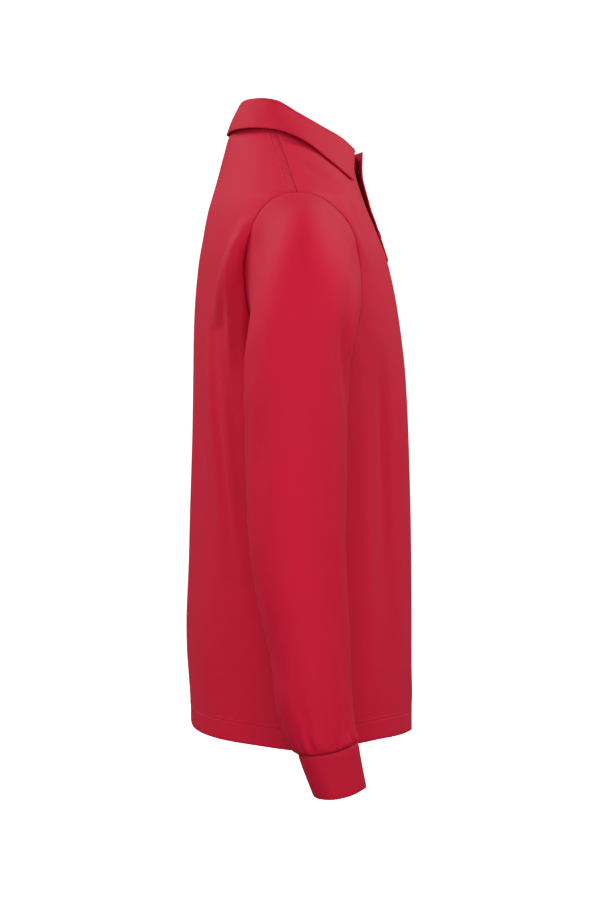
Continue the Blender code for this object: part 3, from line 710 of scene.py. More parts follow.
@dataclass(frozen=True)
class Panel:
    """The front or the back, from the hem to the shoulders."""

    form: BodyForm
    side: Side

    SHOULDER_COLUMNS = 30
    NECK_COLUMNS = 45
    LOW_ROWS = 84
    ARM_ROWS = 78
    SLOT_ROWS = 42
    BAND_COLUMNS = 10
    SEAM_GAPS = tuple(part * SHOULDER_HALF_GAP for part in (1.0, 0.6, 0.3, 0.1))

    def half_grid(self) -> tuple[Array, Array]:
        """Return the angles and heights of the right half, from the hem up."""
        form, side = self.form, self.side
        front = side is Side.FRONT
        centre_x = PLACKET_HALF if front else 0.0
        arm_angle, arm_z = form.armhole(np.linspace(pi, 0.0, self.ARM_ROWS + 1), side)
        shoulder_z = np.linspace(SHOULDER_TIP_Z, 0.0, self.SHOULDER_COLUMNS + 1)
        end_part = form.front_part_at(centre_x) if front else 0.0
        neck_angle, neck_z = form.neckline(
            np.linspace(1.0, end_part, self.NECK_COLUMNS + 1)[1:], side)
        top_angle = np.concatenate([np.zeros(self.SHOULDER_COLUMNS + 1), neck_angle])
        top_z = np.concatenate([shoulder_z, neck_z])
        centre_z = np.linspace(UNDERARM_Z, top_z[-1], self.ARM_ROWS + 1)
        if front:
            below = np.linspace(UNDERARM_Z, PLACKET_LOW_Z, self.ARM_ROWS - self.SLOT_ROWS + 1)
            beside = np.linspace(PLACKET_LOW_Z, top_z[-1], self.SLOT_ROWS + 1)[1:]
            centre_z = np.concatenate([below, beside])
        centre_angle = form.angle_at_x(centre_x, centre_z)
        spread = np.linspace(0.0, 1.0, self.SHOULDER_COLUMNS + self.NECK_COLUMNS + 1)
        edges = ((spread * centre_angle[0], np.full(len(spread), UNDERARM_Z)),
                 (top_angle, top_z), (arm_angle, arm_z), (centre_angle, centre_z))
        flat = fill_patch(*(np.stack([form.x_at_angle(*edge), edge[1]], -1) for edge in edges))
        fraction = np.linspace(0.0, 1.0, self.LOW_ROWS + 1)[:-1, None]
        hem = form.hem[side.panel](90.0 * spread)[None, :]
        low_z = hem + (UNDERARM_Z - hem) * fraction
        low_angle = spread[None, :] * form.angle_at_x(centre_x, low_z[:, -1])[:, None]
        return (np.concatenate([low_angle, form.angle_at_x(flat[..., 0], flat[..., 1])]),
                np.concatenate([low_z, flat[..., 1]]))

    def points(self) -> Array:
        """Return the whole panel's points, the placket's band included."""
        form, side = self.form, self.side
        angle, z = self.half_grid()
        right = form.point(angle, z, side)
        left = form.point(pi - angle, z, side)[:, ::-1]
        low, wide = self.LOW_ROWS + 1, self.SHOULDER_COLUMNS + 1
        for k, gap in enumerate(self.SEAM_GAPS):
            for seam in (right[:low, k], left[:low, -1 - k],
                         right[-1 - k, :wide], left[-1 - k, -wide:]):
                seam[:, 1] += side.value * gap
        if side is Side.BACK:
            return np.concatenate([right, left[:, 1:]], axis=1)
        x = np.linspace(-PLACKET_HALF, PLACKET_HALF, self.BAND_COLUMNS + 1)[None, 1:-1]
        band_z = z[:, -1:] + 0.0 * x
        band_angle = form.angle_at_x(np.abs(x), band_z)
        band = form.point(np.where(x < 0.0, band_angle, pi - band_angle), band_z, side)
        return np.concatenate([right, band, left], axis=1)

    def kept(self, rows: int, columns: int) -> Array | None:
        """Return which quads there are: all but the front's slot for the placket."""
        if self.side is Side.BACK:
            return None
        row, column = np.mgrid[0:rows - 1, 0:columns - 1]
        first = self.SHOULDER_COLUMNS + self.NECK_COLUMNS
        in_band = (column >= first) & (column < first + self.BAND_COLUMNS)
        return ~(in_band & (row >= self.LOW_ROWS + self.ARM_ROWS - self.SLOT_ROWS))

    def build(self, material: Material) -> Item:
        """Make the panel's piece of cloth."""
        points = self.points()
        rows, columns = points.shape[:2]
        across, up = lengths_along(points, 1), lengths_along(points, 0)
        wide = self.SHOULDER_COLUMNS + 1
        arms = points[self.LOW_ROWS:, 0], points[self.LOW_ROWS:, -1]
        shoulders = points[-1, :wide], points[-1, -wide:]
        marks = {"hem_up": up, "shoulder_off": distance_to_paths(points, *shoulders),
                 "arm_off": distance_to_paths(points, *arms)}
        middle = across[:, (columns - 1) // 2][:, None]
        grid = ClothGrid(self.side.panel, points, across - middle, up, BODY_CLOTH, marks,
                         flip=self.side is Side.BACK, keep=self.kept(rows, columns))
        return grid.build(material, Finish.COTTON, CUTS[self.side.panel])


class Tube:
    """A sleeve or cuff: superellipse rings from a table of sizes down it."""

    AROUND = 160

    def __init__(self, name: str, outward: float, rows: Table, rings: int) -> None:
        """Lay out the rings.

        Args:
            name: the CAD node that the tube stands for.
            outward: 1 for the wearer's left, -1 for the right.
            rows: the table of sizes.
            rings: how many rings there are.
        """
        self.name = name
        self.outward = outward
        self.turns = full_circle(self.AROUND)
        self.at = np.linspace(0.0, 1.0, rings)
        self.curves = curves_of(RING_KEYS, rows, np.linspace(0.0, 1.0, len(rows)))

    def rings(self, dent: Array | float = 0.0) -> Array:
        """Place the rings, of shape (rings, turns, 3); dent adds to both half sizes.

        A ring is a superellipse in its own plane, leaning from upright (0) to level (90)
        and pitched up at the front. Turns start on the outer side, the front a quarter on.
        """
        size = {key: curve(self.at[:, None]) for key, curve in self.curves.items()}
        lean, pitch = np.radians(size["lean"]), np.radians(size["pitch"])
        power = 2.0 / SLEEVE_SQUARENESS
        out = signed_power(np.cos(self.turns)[None, :], power) * (size["half_thick"] + dent)
        forth = signed_power(np.sin(self.turns)[None, :], power) * (size["half_width"] + dent)
        x = size["x"] + out * np.sin(lean)
        y = size["y"] - forth * np.cos(pitch)
        z = size["z"] + out * np.cos(lean) + forth * np.sin(pitch)
        return np.stack([self.outward * x, y, z], axis=-1)


class Sleeve(Tube):
    """One long sleeve, set in at the armhole and gathered a little into its cuff."""

    RINGS = 136
    CREASE_RADIUS = 0.050
    CREASE_START, CREASE_STOP = 0.10, 0.03
    GATHERS = ((9.0, 0.4, 0.0010), (14.0, 1.9, 0.0011), (23.0, 0.7, 0.0006), (5.0, 2.6, 0.0008))
    SWELL_IN, SWELL_OUT = 2, 9
    PINCH, PINCH_IN, PINCH_OUT = 0.0008, 3, 12
    DROOP_IN = 4
    EASE = 0.0060
    EASE_PEAK = 0.10
    EASE_END = 0.30

    def __init__(self, form: BodyForm, name: str, outward: float,
                 creases: Sequence[Crease]) -> None:
        """Keep the body form and the creases of its own."""
        super().__init__(name, outward, SLEEVE, self.RINGS)
        self.form = form
        self.creases = creases

    def armhole_ring(self) -> Array:
        """Return the armhole on the body's face, moved out by the seam's gap."""
        ring = np.zeros((len(self.turns), 3))
        for side, chosen in ((Side.FRONT, self.turns <= pi), (Side.BACK, self.turns > pi)):
            angle, z = self.form.armhole(self.turns[chosen], side)
            angle = angle if self.outward < 0 else pi - angle
            ring[chosen] = self.form.point(angle, z, side)
        ring[:, 0] += self.outward * SLEEVE_GAP
        return ring

    def points(self) -> Array:
        """Return rings from the armhole to the cuff, with folds, creases and gathers.

        Ease is a dent over the sleeve head, and the gathers are waves that swell and then
        close towards the cuff, whose outer side droops. The first rings blend into the
        armhole.
        """
        z = self.rings()[..., 2]
        radius = self.curves["half_width"](self.at)[:, None]
        angle = np.degrees(self.turns)[None, :] + 0.0 * radius
        blend = np.clip(self.at / ARMHOLE_BLEND, 0.0, 1.0)
        dent = blend[:, None] * fold_heights(SLEEVE_FOLDS, angle, z, radius)
        ends = (smooth_step(self.at / self.CREASE_START)
                * smooth_step((1.0 - self.at) / self.CREASE_STOP))
        dent = dent + ends[:, None] * crease_heights(self.creases, angle, z, self.CREASE_RADIUS)
        upper = np.sin(np.clip(2.0 * np.abs(angle - 360.0 * (angle > 180.0)), 0.0, 180.0)
                       * pi / 180.0)
        start = smooth_step(self.at / self.EASE_PEAK)
        stop = smooth_step((self.EASE_END - self.at) / (self.EASE_END - self.EASE_PEAK))
        dent = dent - self.EASE * upper * (start * stop)[:, None]
        near = np.clip((self.at - GATHER_FROM) / (1.0 - GATHER_FROM), 0.0, 1.0)[:, None]
        swell = near ** self.SWELL_IN * (1.0 - near ** self.SWELL_OUT)
        for count, phase, height in self.GATHERS:
            dent = dent + swell * height * np.cos(count * self.turns + phase)[None, :]
        dent = (dent + self.PINCH * np.sin(pi * near ** self.PINCH_IN)
                - self.PINCH * near ** self.PINCH_OUT)
        rings = self.rings(dent)
        left_over = self.armhole_ring() - rings[0]
        rings[..., 2] -= CUFF_DROOP * near ** self.DROOP_IN * np.cos(self.turns) ** 2
        return rings + ((1.0 - blend) ** 2)[:, None, None] * left_over[None]

    def build(self, material: Material) -> Item:
        """Make the sleeve's piece of cloth."""
        points = self.points()
        down = lengths_along(points, 0)
        round_it = lengths_along(np.concatenate([points, points[:, :1]], axis=1), 1)
        marks = {"arm_off": down, "cuff_off": down[-1:] - down}
        grid = ClothGrid(self.name, points, round_it, -down, BODY_CLOTH, marks, closed=True,
                         flip=self.outward < 0.0)
        return grid.build(material, Finish.COTTON, CUTS["sleeve"])


class Cuff(Tube):
    """One ribbed cuff; its material has the ribs, which run down it."""

    RINGS = 24
    RIBS = 104
    WAVES = ((3.0, 0.8, 0.0006), (8.0, 2.0, 0.0002))
    SEAM_DRAW, SEAM_REACH = 0.0006, 0.12
    END_DRAW, END_FROM, END_FADE = 0.0004, 0.9, 0.1
    DROOP_GROWTH = 0.25

    def __init__(self, name: str, outward: float) -> None:
        """Lay out the rings."""
        super().__init__(name, outward, CUFF, self.RINGS)

    def points(self) -> Array:
        """Return rings with slow waves, drawn in a little at the seam and the end."""
        at = self.at[:, None]
        dent = (-self.SEAM_DRAW * (1.0 - smooth_step(at / self.SEAM_REACH))
                - self.END_DRAW * smooth_step((at - self.END_FROM) / self.END_FADE))
        for count, phase, size in self.WAVES:
            dent = dent + size * at * np.cos(count * self.turns + phase)[None, :]
        rings = self.rings(dent)
        droop = CUFF_DROOP * (1.0 + self.DROOP_GROWTH * at)
        rings[..., 2] -= CUFF_GAP + droop * np.cos(self.turns) ** 2
        return rings

    def build(self, material: Material) -> Item:
        """Make the cuff's piece of cloth."""
        points = self.points()
        down = lengths_along(points, 0)
        marks = {"seam_off": down, "end_off": down[-1:] - down}
        ribs = np.arange(self.AROUND + 1)[None, :] * self.RIBS / self.AROUND
        grid = ClothGrid(self.name, points, ribs + 0.0 * down[:, :1], -down, CUFF_CLOTH, marks,
                         closed=True, flip=self.outward < 0.0)
        return grid.build(material, Finish.RIB, CUTS["cuff"])


@dataclass(frozen=True)
class Collar:
    """The turned-down collar: one flat-knit piece with a stand, a soft fold and a fall."""

    form: BodyForm

    COLUMNS = 130
    STAND_STEPS = 12
    FOLD_STEPS = 10
    FALL_STEPS = 26
    FOLD_RADIUS = 0.0032
    END_X = 0.0190
    LIFT_FROM = 0.60
    WAVES = ((9.0, 0.6, 0.0005), (15.0, 2.1, 0.0003), (4.0, 1.2, 0.0006))
    WAVE_SHARE, BOW = 0.8, 0.0012

    def neck_seam(self, round_neck: Array) -> Array:
        """Return the neck seam at parts of the way from the back's middle to the front end."""
        form = self.form
        end_part = form.front_part_at(self.END_X)
        part = 1.0 - (2.0 * np.maximum(round_neck, 0.5) - 1.0) * (1.0 - end_part)
        back, front = (form.point(*form.neckline(way, side), side) for way, side in (
            (2.0 * np.minimum(round_neck, 0.5), Side.BACK), (part, Side.FRONT)))
        return np.where((round_neck <= 0.5)[:, None], back, front)

    def points(self) -> Array:
        """Return profiles from the right end to the left, each up the stand and down the fall.

        A profile is a straight stand, a half round fold and a fall that bows out a little;
        slow waves run along the fall.
        """
        along = np.linspace(-1.0, 1.0, 2 * self.COLUMNS + 1)
        place = np.abs(along)
        curves = curves_of(COLLAR_KEYS, COLLAR)
        mirror = np.stack([np.where(along >= 0.0, 1.0, -1.0), np.ones_like(along),
                           np.ones_like(along)], axis=-1)
        base = self.neck_seam(place) * np.array([-1.0, 1.0, 1.0])
        inwards = np.array([0.0, NECK_CENTRE_Y, 0.0]) - base
        inwards[:, 2] = 0.0
        base = base + unit(inwards) * COLLAR_CLOTH
        base[:, 2] += COLLAR_GAP
        lift = np.maximum(0.0, place - self.LIFT_FROM) / (1.0 - self.LIFT_FROM)
        base[:, 2] += COLLAR_CLOTH * lift
        fold, edge = (np.stack([curves[line + axis](place) for axis in "xyz"], axis=-1)
                      for line in ("fold_", "edge_"))
        away = edge - fold
        away[:, 2] = 0.0
        away = unit(away)
        up = np.array([0.0, 0.0, 1.0])
        middle = fold + (away - up) * self.FOLD_RADIUS
        inner = middle - away * self.FOLD_RADIUS
        rise = np.linspace(0.0, 1.0, self.STAND_STEPS + 1)[None, :-1, None]
        stand = base[:, None] + (inner - base)[:, None] * rise
        swing = np.linspace(pi, 0.0, self.FOLD_STEPS + 1)[None, :, None]
        crest = middle[:, None] + self.FOLD_RADIUS * (
            np.cos(swing) * away[:, None] + np.sin(swing) * up)
        drop = np.linspace(0.0, 1.0, self.FALL_STEPS + 1)[None, 1:, None]
        fall = crest[:, -1:] + (edge[:, None] - crest[:, -1:]) * drop
        wave = sum(size * np.cos(count * along + phase) for count, phase, size in self.WAVES)
        fall = fall + away[:, None] * (
            wave[:, None, None] * np.sin(0.5 * pi * drop) * self.WAVE_SHARE
            + self.BOW * np.sin(pi * drop))
        return np.concatenate([stand, crest, fall], axis=1) * mirror[:, None]

    def build(self, material: Material) -> Item:
        """Make the collar's piece of cloth."""
        points = self.points()
        down = lengths_along(points, 1)
        along = lengths_along(points, 0)[:, -1:] + 0.0 * down
        ends = np.minimum(along, along[-1:] - along)
        marks = {"edge_off": np.minimum(down[:, -1:] - down, ends)}
        grid = ClothGrid("collar", points, along, down, COLLAR_CLOTH, marks, flip=True)
        return grid.build(material, Finish.RIB, CUTS["collar"])


@dataclass(frozen=True)
class Placket:
    """One strip of the front opening: the upper one stands forward where it is open.

    lift is its distance off the front's face, and flare how far its top stands forward.
    """

    form: BodyForm
    name: str
    lift: float
    flare: float
    half: float
    thickness: float

    COLUMNS = 16
    ROWS = 64
    STEP = 0.0005
    TOP_CURL = 1.6

    def face(self, x: Array, z: Array, lift: Array | float = 0.0) -> Array:
        """Return points of the outer face, x to the left of the front's centre.

        The lift grows towards the wearer's right, as the power FLARE_CURL of the way
        across, and upwards in proportion to the height over the lowest button.
        """
        right = self.form.angle_at_x(np.abs(x), z)
        height = np.clip((z - FLARE_END_Z) / (PLACKET_TOP_Z - FLARE_END_Z), 0.0, 1.0)
        swing = np.clip(0.5 * (1.0 - x / PLACKET_HALF), 0.0, None)
        top = np.clip((z - TOP_FLARE_Z) / (PLACKET_TOP_Z - TOP_FLARE_Z), 0.0, 1.0)
        stand = self.flare * height + TOP_FLARE * (self.flare / FLARE) * top ** self.TOP_CURL
        out = self.lift + lift + stand * swing ** FLARE_CURL
        return self.form.point(np.where(x < 0.0, right, pi - right), z, Side.FRONT, out)

    def normal(self, x: Array, z: Array) -> Array:
        """Return outward unit normals of the face."""
        across = self.face(x + self.STEP, z) - self.face(x - self.STEP, z)
        return unit(np.cross(across, self.face(x, z + self.STEP) - self.face(x, z - self.STEP)))

    def build(self, material: Material) -> Item:
        """Make the strip's piece of cloth."""
        x, z = np.meshgrid(np.linspace(-self.half, self.half, self.COLUMNS + 1), np.linspace(
            PLACKET_LOW_Z + SEAM_HALF_GAP, PLACKET_TOP_Z, self.ROWS + 1))
        marks = {"side_off": np.minimum(self.half - np.abs(x), np.minimum(z - z[0], z[-1] - z))}
        grid = ClothGrid(self.name, self.face(x, z), x, z, self.thickness, marks)
        return grid.build(material, Finish.COTTON, CUTS["placket"])


class Button:
    """A small four-hole button with a raised rim, sewn on with a pair of thread bars."""

    RADIUS = 0.00575
    THICK = 0.0016
    SIDES = 48
    HOLE_RADIUS = 0.00062
    HOLE_REACH = 0.000936
    HOLE_SIDES = 12
    HOLE_LEVEL = 0.235
    THREAD_STEPS = 9
    THREAD_LEVEL, THREAD_RISE = 0.30, 0.22
    PROFILE = ((0.62, -0.50), (0.90, -0.30), (1.0, 0.0), (0.985, 0.28), (0.93, 0.46),
               (0.84, 0.50), (0.76, 0.40), (0.70, 0.26), (0.60, 0.22))

    def __init__(self, name: str, seat: Array, out: Array) -> None:
        """Keep the middle of the button and the way that it faces."""
        self.name = name
        self.seat = seat
        self.out = out / np.linalg.norm(out)
        self.side = unit(np.cross(np.array([0.0, 0.0, 1.0]), self.out))
        self.up = np.cross(self.out, self.side)

    def placed(self, local: Array) -> Array:
        """Carry local points to the button's seat."""
        return (self.seat + local[..., :1] * self.side + local[..., 1:2] * self.up
                + local[..., 2:] * self.out)

    def build(self, material: Material) -> Item:
        """Turn the profile, in parts of the radius and the thickness, round the middle."""
        turns = full_circle(self.SIDES)
        profile = np.array(self.PROFILE)
        ring = np.stack([np.cos(turns), np.sin(turns)], axis=-1)
        level = np.broadcast_to(profile[:, None, 1:] * self.THICK,
                                (len(profile), self.SIDES, 1))
        wall = np.concatenate([profile[:, None, :1] * ring[None] * self.RADIUS, level], axis=-1)
        faces = ring_quads(len(profile), self.SIDES).tolist() + end_caps(len(profile), self.SIDES)
        item = add_piece(self.name + BUTTON_SUFFIX, self.placed(wall), faces, material)
        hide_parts(self.name)
        return item

    def holes(self, material: Material) -> Item:
        """Make the four holes as dark discs sunk in the dish: painted shadow in place of openings.
        """
        turns = full_circle(self.HOLE_SIDES)
        disc = np.stack([np.cos(turns), np.sin(turns), 0.0 * turns], axis=-1) * self.HOLE_RADIUS
        places = np.array([(a, b, 0.0) for a in (-1, 1) for b in (-1, 1)]) * self.HOLE_REACH
        level = np.array([0.0, 0.0, self.HOLE_LEVEL * self.THICK])
        faces = np.arange(4 * self.HOLE_SIDES).reshape(4, -1).tolist()
        return add_piece(self.name + "_holes", self.placed(places[:, None] + disc[None] + level),
                         faces, material)

    def thread(self) -> "list[Row]":
        """Return rows for the thread: two bars between the holes, bowed outwards."""
        steps = np.linspace(-1.0, 1.0, self.THREAD_STEPS)
        rows = []
        for a in (-1.0, 1.0):
            rise = (self.THREAD_LEVEL + self.THREAD_RISE * (1.0 - steps ** 2)) * self.THICK
            local = np.stack([0.0 * steps + a * self.HOLE_REACH, steps * self.HOLE_REACH, rise],
                             axis=-1)
            rows.append((THREAD, self.placed(local), np.broadcast_to(self.out, local.shape)))
        return rows


@dataclass(frozen=True)
class Stitching:
    """Sizes of a row of stitches: its pitch, a stitch's length and radius, and its lift."""

    pitch: float = 0.0027
    length: float = 0.0023
    radius: float = 0.00024
    lift: float = 0.00012
    crossed: bool = False

    RINGS = ((-0.5, 0.15), (-0.34, 0.8), (0.0, 1.0), (0.34, 0.8), (0.5, 0.15))
    SIDES = 6
    FLATNESS = 0.8
    STEP = 0.0004

    def along(self, path: Array, normals: Array) -> tuple[Array, Faces]:
        """Lay stitches along a path.

        The path is cut at even lengths; each stitch is a six-sided capsule that rises a
        little in its middle. Crossed stitches lie across the path, as in a buttonhole.

        Args:
            path: points of the row, in order.
            normals: the cloth's outward normal at each.

        Returns:
            The points and faces of all the stitches.
        """
        steps = np.linalg.norm(np.diff(path, axis=0), axis=1)
        run = np.concatenate([[0.0], np.cumsum(steps)])
        count = max(1, int(run[-1] / self.pitch))
        centres = (np.arange(count) + 0.5) * run[-1] / count

        def at(places: Array, values: Array) -> Array:
            """Read values at lengths along the path."""
            return np.stack([np.interp(places, run, values[:, k]) for k in range(3)], axis=-1)

        forward = unit(at(centres + self.STEP, path) - at(centres - self.STEP, path))
        out = unit(at(centres, normals))
        aside = unit(np.cross(out, forward))
        if self.crossed:
            forward, aside = aside, forward
        turns = full_circle(self.SIDES)
        place, size = np.repeat(np.array(self.RINGS), self.SIDES, axis=0).T
        round_it = np.tile(np.cos(turns), len(self.RINGS)) * size
        height = np.tile(np.sin(turns), len(self.RINGS)) * size
        arch = self.lift * (1.0 - (2.0 * place) ** 2 * self.FLATNESS)
        points = (at(centres, path)[:, None]
                  + forward[:, None] * (place * self.length)[None, :, None]
                  + aside[:, None] * (round_it * self.radius)[None, :, None]
                  + out[:, None] * (height * self.radius * self.FLATNESS + arch)[None, :, None])
        each = len(place)
        quads = ring_quads(len(self.RINGS), self.SIDES)
        faces = (quads[None] + np.arange(count)[:, None, None] * each).reshape(-1, 4).tolist()
        faces += [[k * each + corner for corner in end] for k in range(count)
                  for end in end_caps(len(self.RINGS), self.SIDES)]
        return points.reshape(-1, 3), faces


Row = tuple[Stitching, Array, Array]
SEAM_STITCH = Stitching()
FINE_STITCH = Stitching(pitch=0.0023, length=0.0019, radius=0.00020, lift=0.00010)
SATIN_STITCH = Stitching(pitch=0.00034, length=0.0022, radius=0.00019, lift=0.00025, crossed=True)
THREAD = Stitching(pitch=0.0030, length=0.0030, radius=0.00032, lift=0.00010)
SHOULDER_ROWS = (0.0010, 0.0070)
HEM_ROW = 0.0220
PLACKET_ROW = 0.0020


def add_stitching(name: str, rows: Sequence[Row], material: Material) -> Item:
    """Join rows of stitches, each with its sizes, path and normals, into one piece."""
    points, faces, base = [], [], 0
    for sizes, path, normals in rows:
        row_points, row_faces = sizes.along(path, normals)
        points.append(row_points)
        faces += [[corner + base for corner in face] for face in row_faces]
        base += len(row_points)
    return add_piece(name, np.concatenate(points), faces, material)


def operator(operation: str, reflected: bool = False) -> Callable[..., "Socket"]:
    """Make a method of Socket from a Math node's operation; reflected puts the value last."""
    def method(self: "Socket", *others: "Socket | float") -> "Socket":
        """Return the operation on this value and others."""
        values = (*others, self) if reflected else (self, *others)
        node = self.shading.node("ShaderNodeMath", {"operation": operation}, *values)
        return Socket(self.shading, node.outputs[0])
    return method


class Socket:
    """A shader value with the usual arithmetic; each operation adds a Math node."""

    def __init__(self, shading: "Shading", socket: bpy.types.NodeSocket) -> None:
        """Keep the material's nodes and the output."""
        self.shading = shading
        self.socket = socket

    __add__, __radd__ = operator("ADD"), operator("ADD", True)
    __sub__, __rsub__ = operator("SUBTRACT"), operator("SUBTRACT", True)
    __mul__, __rmul__ = operator("MULTIPLY"), operator("MULTIPLY", True)
    __truediv__, __rtruediv__ = operator("DIVIDE"), operator("DIVIDE", True)
    sin = operator("SINE")
    exp = operator("EXPONENT")

    def bell(self, centre: float, width: float) -> "Socket":
        """Return exp(-((value - centre) / width) squared)."""
        scaled = (self - centre) / width
        return (scaled * scaled * -1.0).exp()

    def step(self, start: float, stop: float) -> "Socket":
        """Return a smooth step from 0 at start to 1 at stop."""
        node = self.shading.node("ShaderNodeMapRange", {"interpolation_type": "SMOOTHSTEP"},
                                 Value=self, From_Min=start, From_Max=stop)
        return Socket(self.shading, node.outputs["Result"])


class Shading:
    """The nodes of one material."""

    NOISE_ROUGHNESS = 0.55

    def __init__(self, name: str) -> None:
        """Start a material with its Principled shader and the object's own coordinates."""
        self.material = bpy.data.materials.new(name)
        self.material.use_nodes = True
        self.tree = self.material.node_tree
        self.shader = self.tree.nodes["Principled BSDF"]
        self.place = self.node("ShaderNodeTexCoord").outputs["Object"]

    def fill(self, node: bpy.types.Node, *values: object, **sockets: object) -> None:
        """Set or link a node's inputs, in order or by name with underscores for spaces."""
        named = {key.replace("_", " "): value for key, value in sockets.items()}
        for key, value in (*enumerate(values), *named.items()):
            value = value.socket if isinstance(value, Socket) else value
            if isinstance(value, bpy.types.NodeSocket):
                self.tree.links.new(value, node.inputs[key])
            else:
                node.inputs[key].default_value = value

    def node(self, kind: str, settings: dict[str, object] | None = None, *values: object,
             **sockets: object) -> bpy.types.Node:
        """Add a node: its settings first, then values or links for its inputs."""
        node = self.tree.nodes.new(kind)
        for key, value in (settings or {}).items():
            setattr(node, key, value)
        self.fill(node, *values, **sockets)
        return node

    def mark(self, name: str) -> Socket:
        """Return a distance kept on the mesh."""
        node = self.node("ShaderNodeAttribute", {"attribute_name": name})
        return Socket(self, node.outputs["Fac"])

    def waves(self, across: float, up: float) -> tuple[Socket, Socket]:
        """Return sine waves across and up the cloth, with their wavelengths."""
        uv = self.node("ShaderNodeUVMap", {"uv_map": "cloth"}).outputs["UV"]
        parts = self.node("ShaderNodeSeparateXYZ", Vector=uv)
        u, v = (Socket(self, parts.outputs[axis]) for axis in "XY")
        return (u * (2.0 * pi / across)).sin(), (v * (2.0 * pi / up)).sin()

    def noise(self, scale: float, detail: float) -> Socket:
        """Return noise about zero, from -0.5 to 0.5."""
        node = self.node("ShaderNodeTexNoise", {"noise_dimensions": "3D"}, Vector=self.place,
                         Scale=scale, Detail=detail, Roughness=self.NOISE_ROUGHNESS)
        return Socket(self, node.outputs[0]) - 0.5

    def finish(self, colour: tuple[float, float, float], tone: Socket, relief: Socket | None,
               **sockets: object) -> Material:
        """Set the shader's inputs.

        Args:
            colour: the base colour.
            tone: a varying factor of it.
            relief: height in metres for the shader's normal, or None.
            sockets: values or links for the other inputs.

        Returns:
            The finished material.
        """
        tinted = self.node("ShaderNodeVectorMath", {"operation": "SCALE"}, colour, Scale=tone)
        self.fill(self.shader, Base_Color=tinted.outputs["Vector"], **sockets)
        if relief is not None:
            bump = self.node("ShaderNodeBump", Strength=1.0, Distance=1.0, Height=relief)
            self.fill(self.shader, Normal=bump.outputs["Normal"])
        return self.material


class ReliefKind(Enum):
    """How a seam's relief changes with the distance from it."""

    GROOVE = "groove"
    STEP = "step"


@dataclass(frozen=True)
class Relief:
    """A seam's relief: at a distance of a mark, a groove or step of a width and height.

    pucker is how high the cloth puckers beside it.
    """

    mark: str
    at: float
    width: float
    height: float
    kind: ReliefKind = ReliefKind.GROOVE
    pucker: float = 0.0

    PUCKER_REACH = 0.0055
    PUCKER_SCALE = 150.0

    def shape(self, shading: Shading) -> Socket:
        """Return the height: a bell for a groove, a smooth step, and noise for a pucker."""
        mark = shading.mark(self.mark)
        if self.kind is ReliefKind.GROOVE:
            height = mark.bell(self.at, self.width) * self.height
        else:
            height = mark.step(self.at, self.at + self.width) * self.height
        if self.pucker:
            waves = shading.noise(self.PUCKER_SCALE, 1.0)
            near = mark.bell(self.at, self.PUCKER_REACH)
            height = height + waves * near * (2.0 * self.pucker)
        return height


PANEL_RELIEF = (
    Relief("hem_up", 0.0228, 0.0030, -0.00025, ReliefKind.STEP, 0.00022),
    Relief("hem_up", HEM_ROW, 0.0009, -0.00040, pucker=0.00018),
    Relief("arm_off", 0.0, 0.0016, -0.00090, pucker=0.00020),
)
BACK_RELIEF = PANEL_RELIEF + (
    Relief("shoulder_off", SHOULDER_ROWS[0], 0.0008, -0.00030),
    Relief("shoulder_off", SHOULDER_ROWS[1], 0.0009, -0.00075, pucker=0.00025),
    Relief("shoulder_off", 0.0078, 0.0018, -0.00050, ReliefKind.STEP),
)
SLEEVE_RELIEF = (
    Relief("arm_off", 0.0, 0.0018, -0.00100, pucker=0.00030),
    Relief("cuff_off", 0.0, 0.0016, -0.00080, pucker=0.00060),
)
PLACKET_RELIEF = (Relief("side_off", PLACKET_ROW, 0.0008, -0.00030, pucker=0.00012),)
COLLAR_RELIEF = (
    Relief("edge_off", 0.0016, 0.0007, -0.00030),
    Relief("edge_off", 0.0008, 0.0008, 0.00030),
)
CUFF_RELIEF = (
    Relief("seam_off", 0.0, 0.0014, -0.00070, pucker=0.00020),
    Relief("end_off", 0.0030, 0.0008, -0.00020),
)


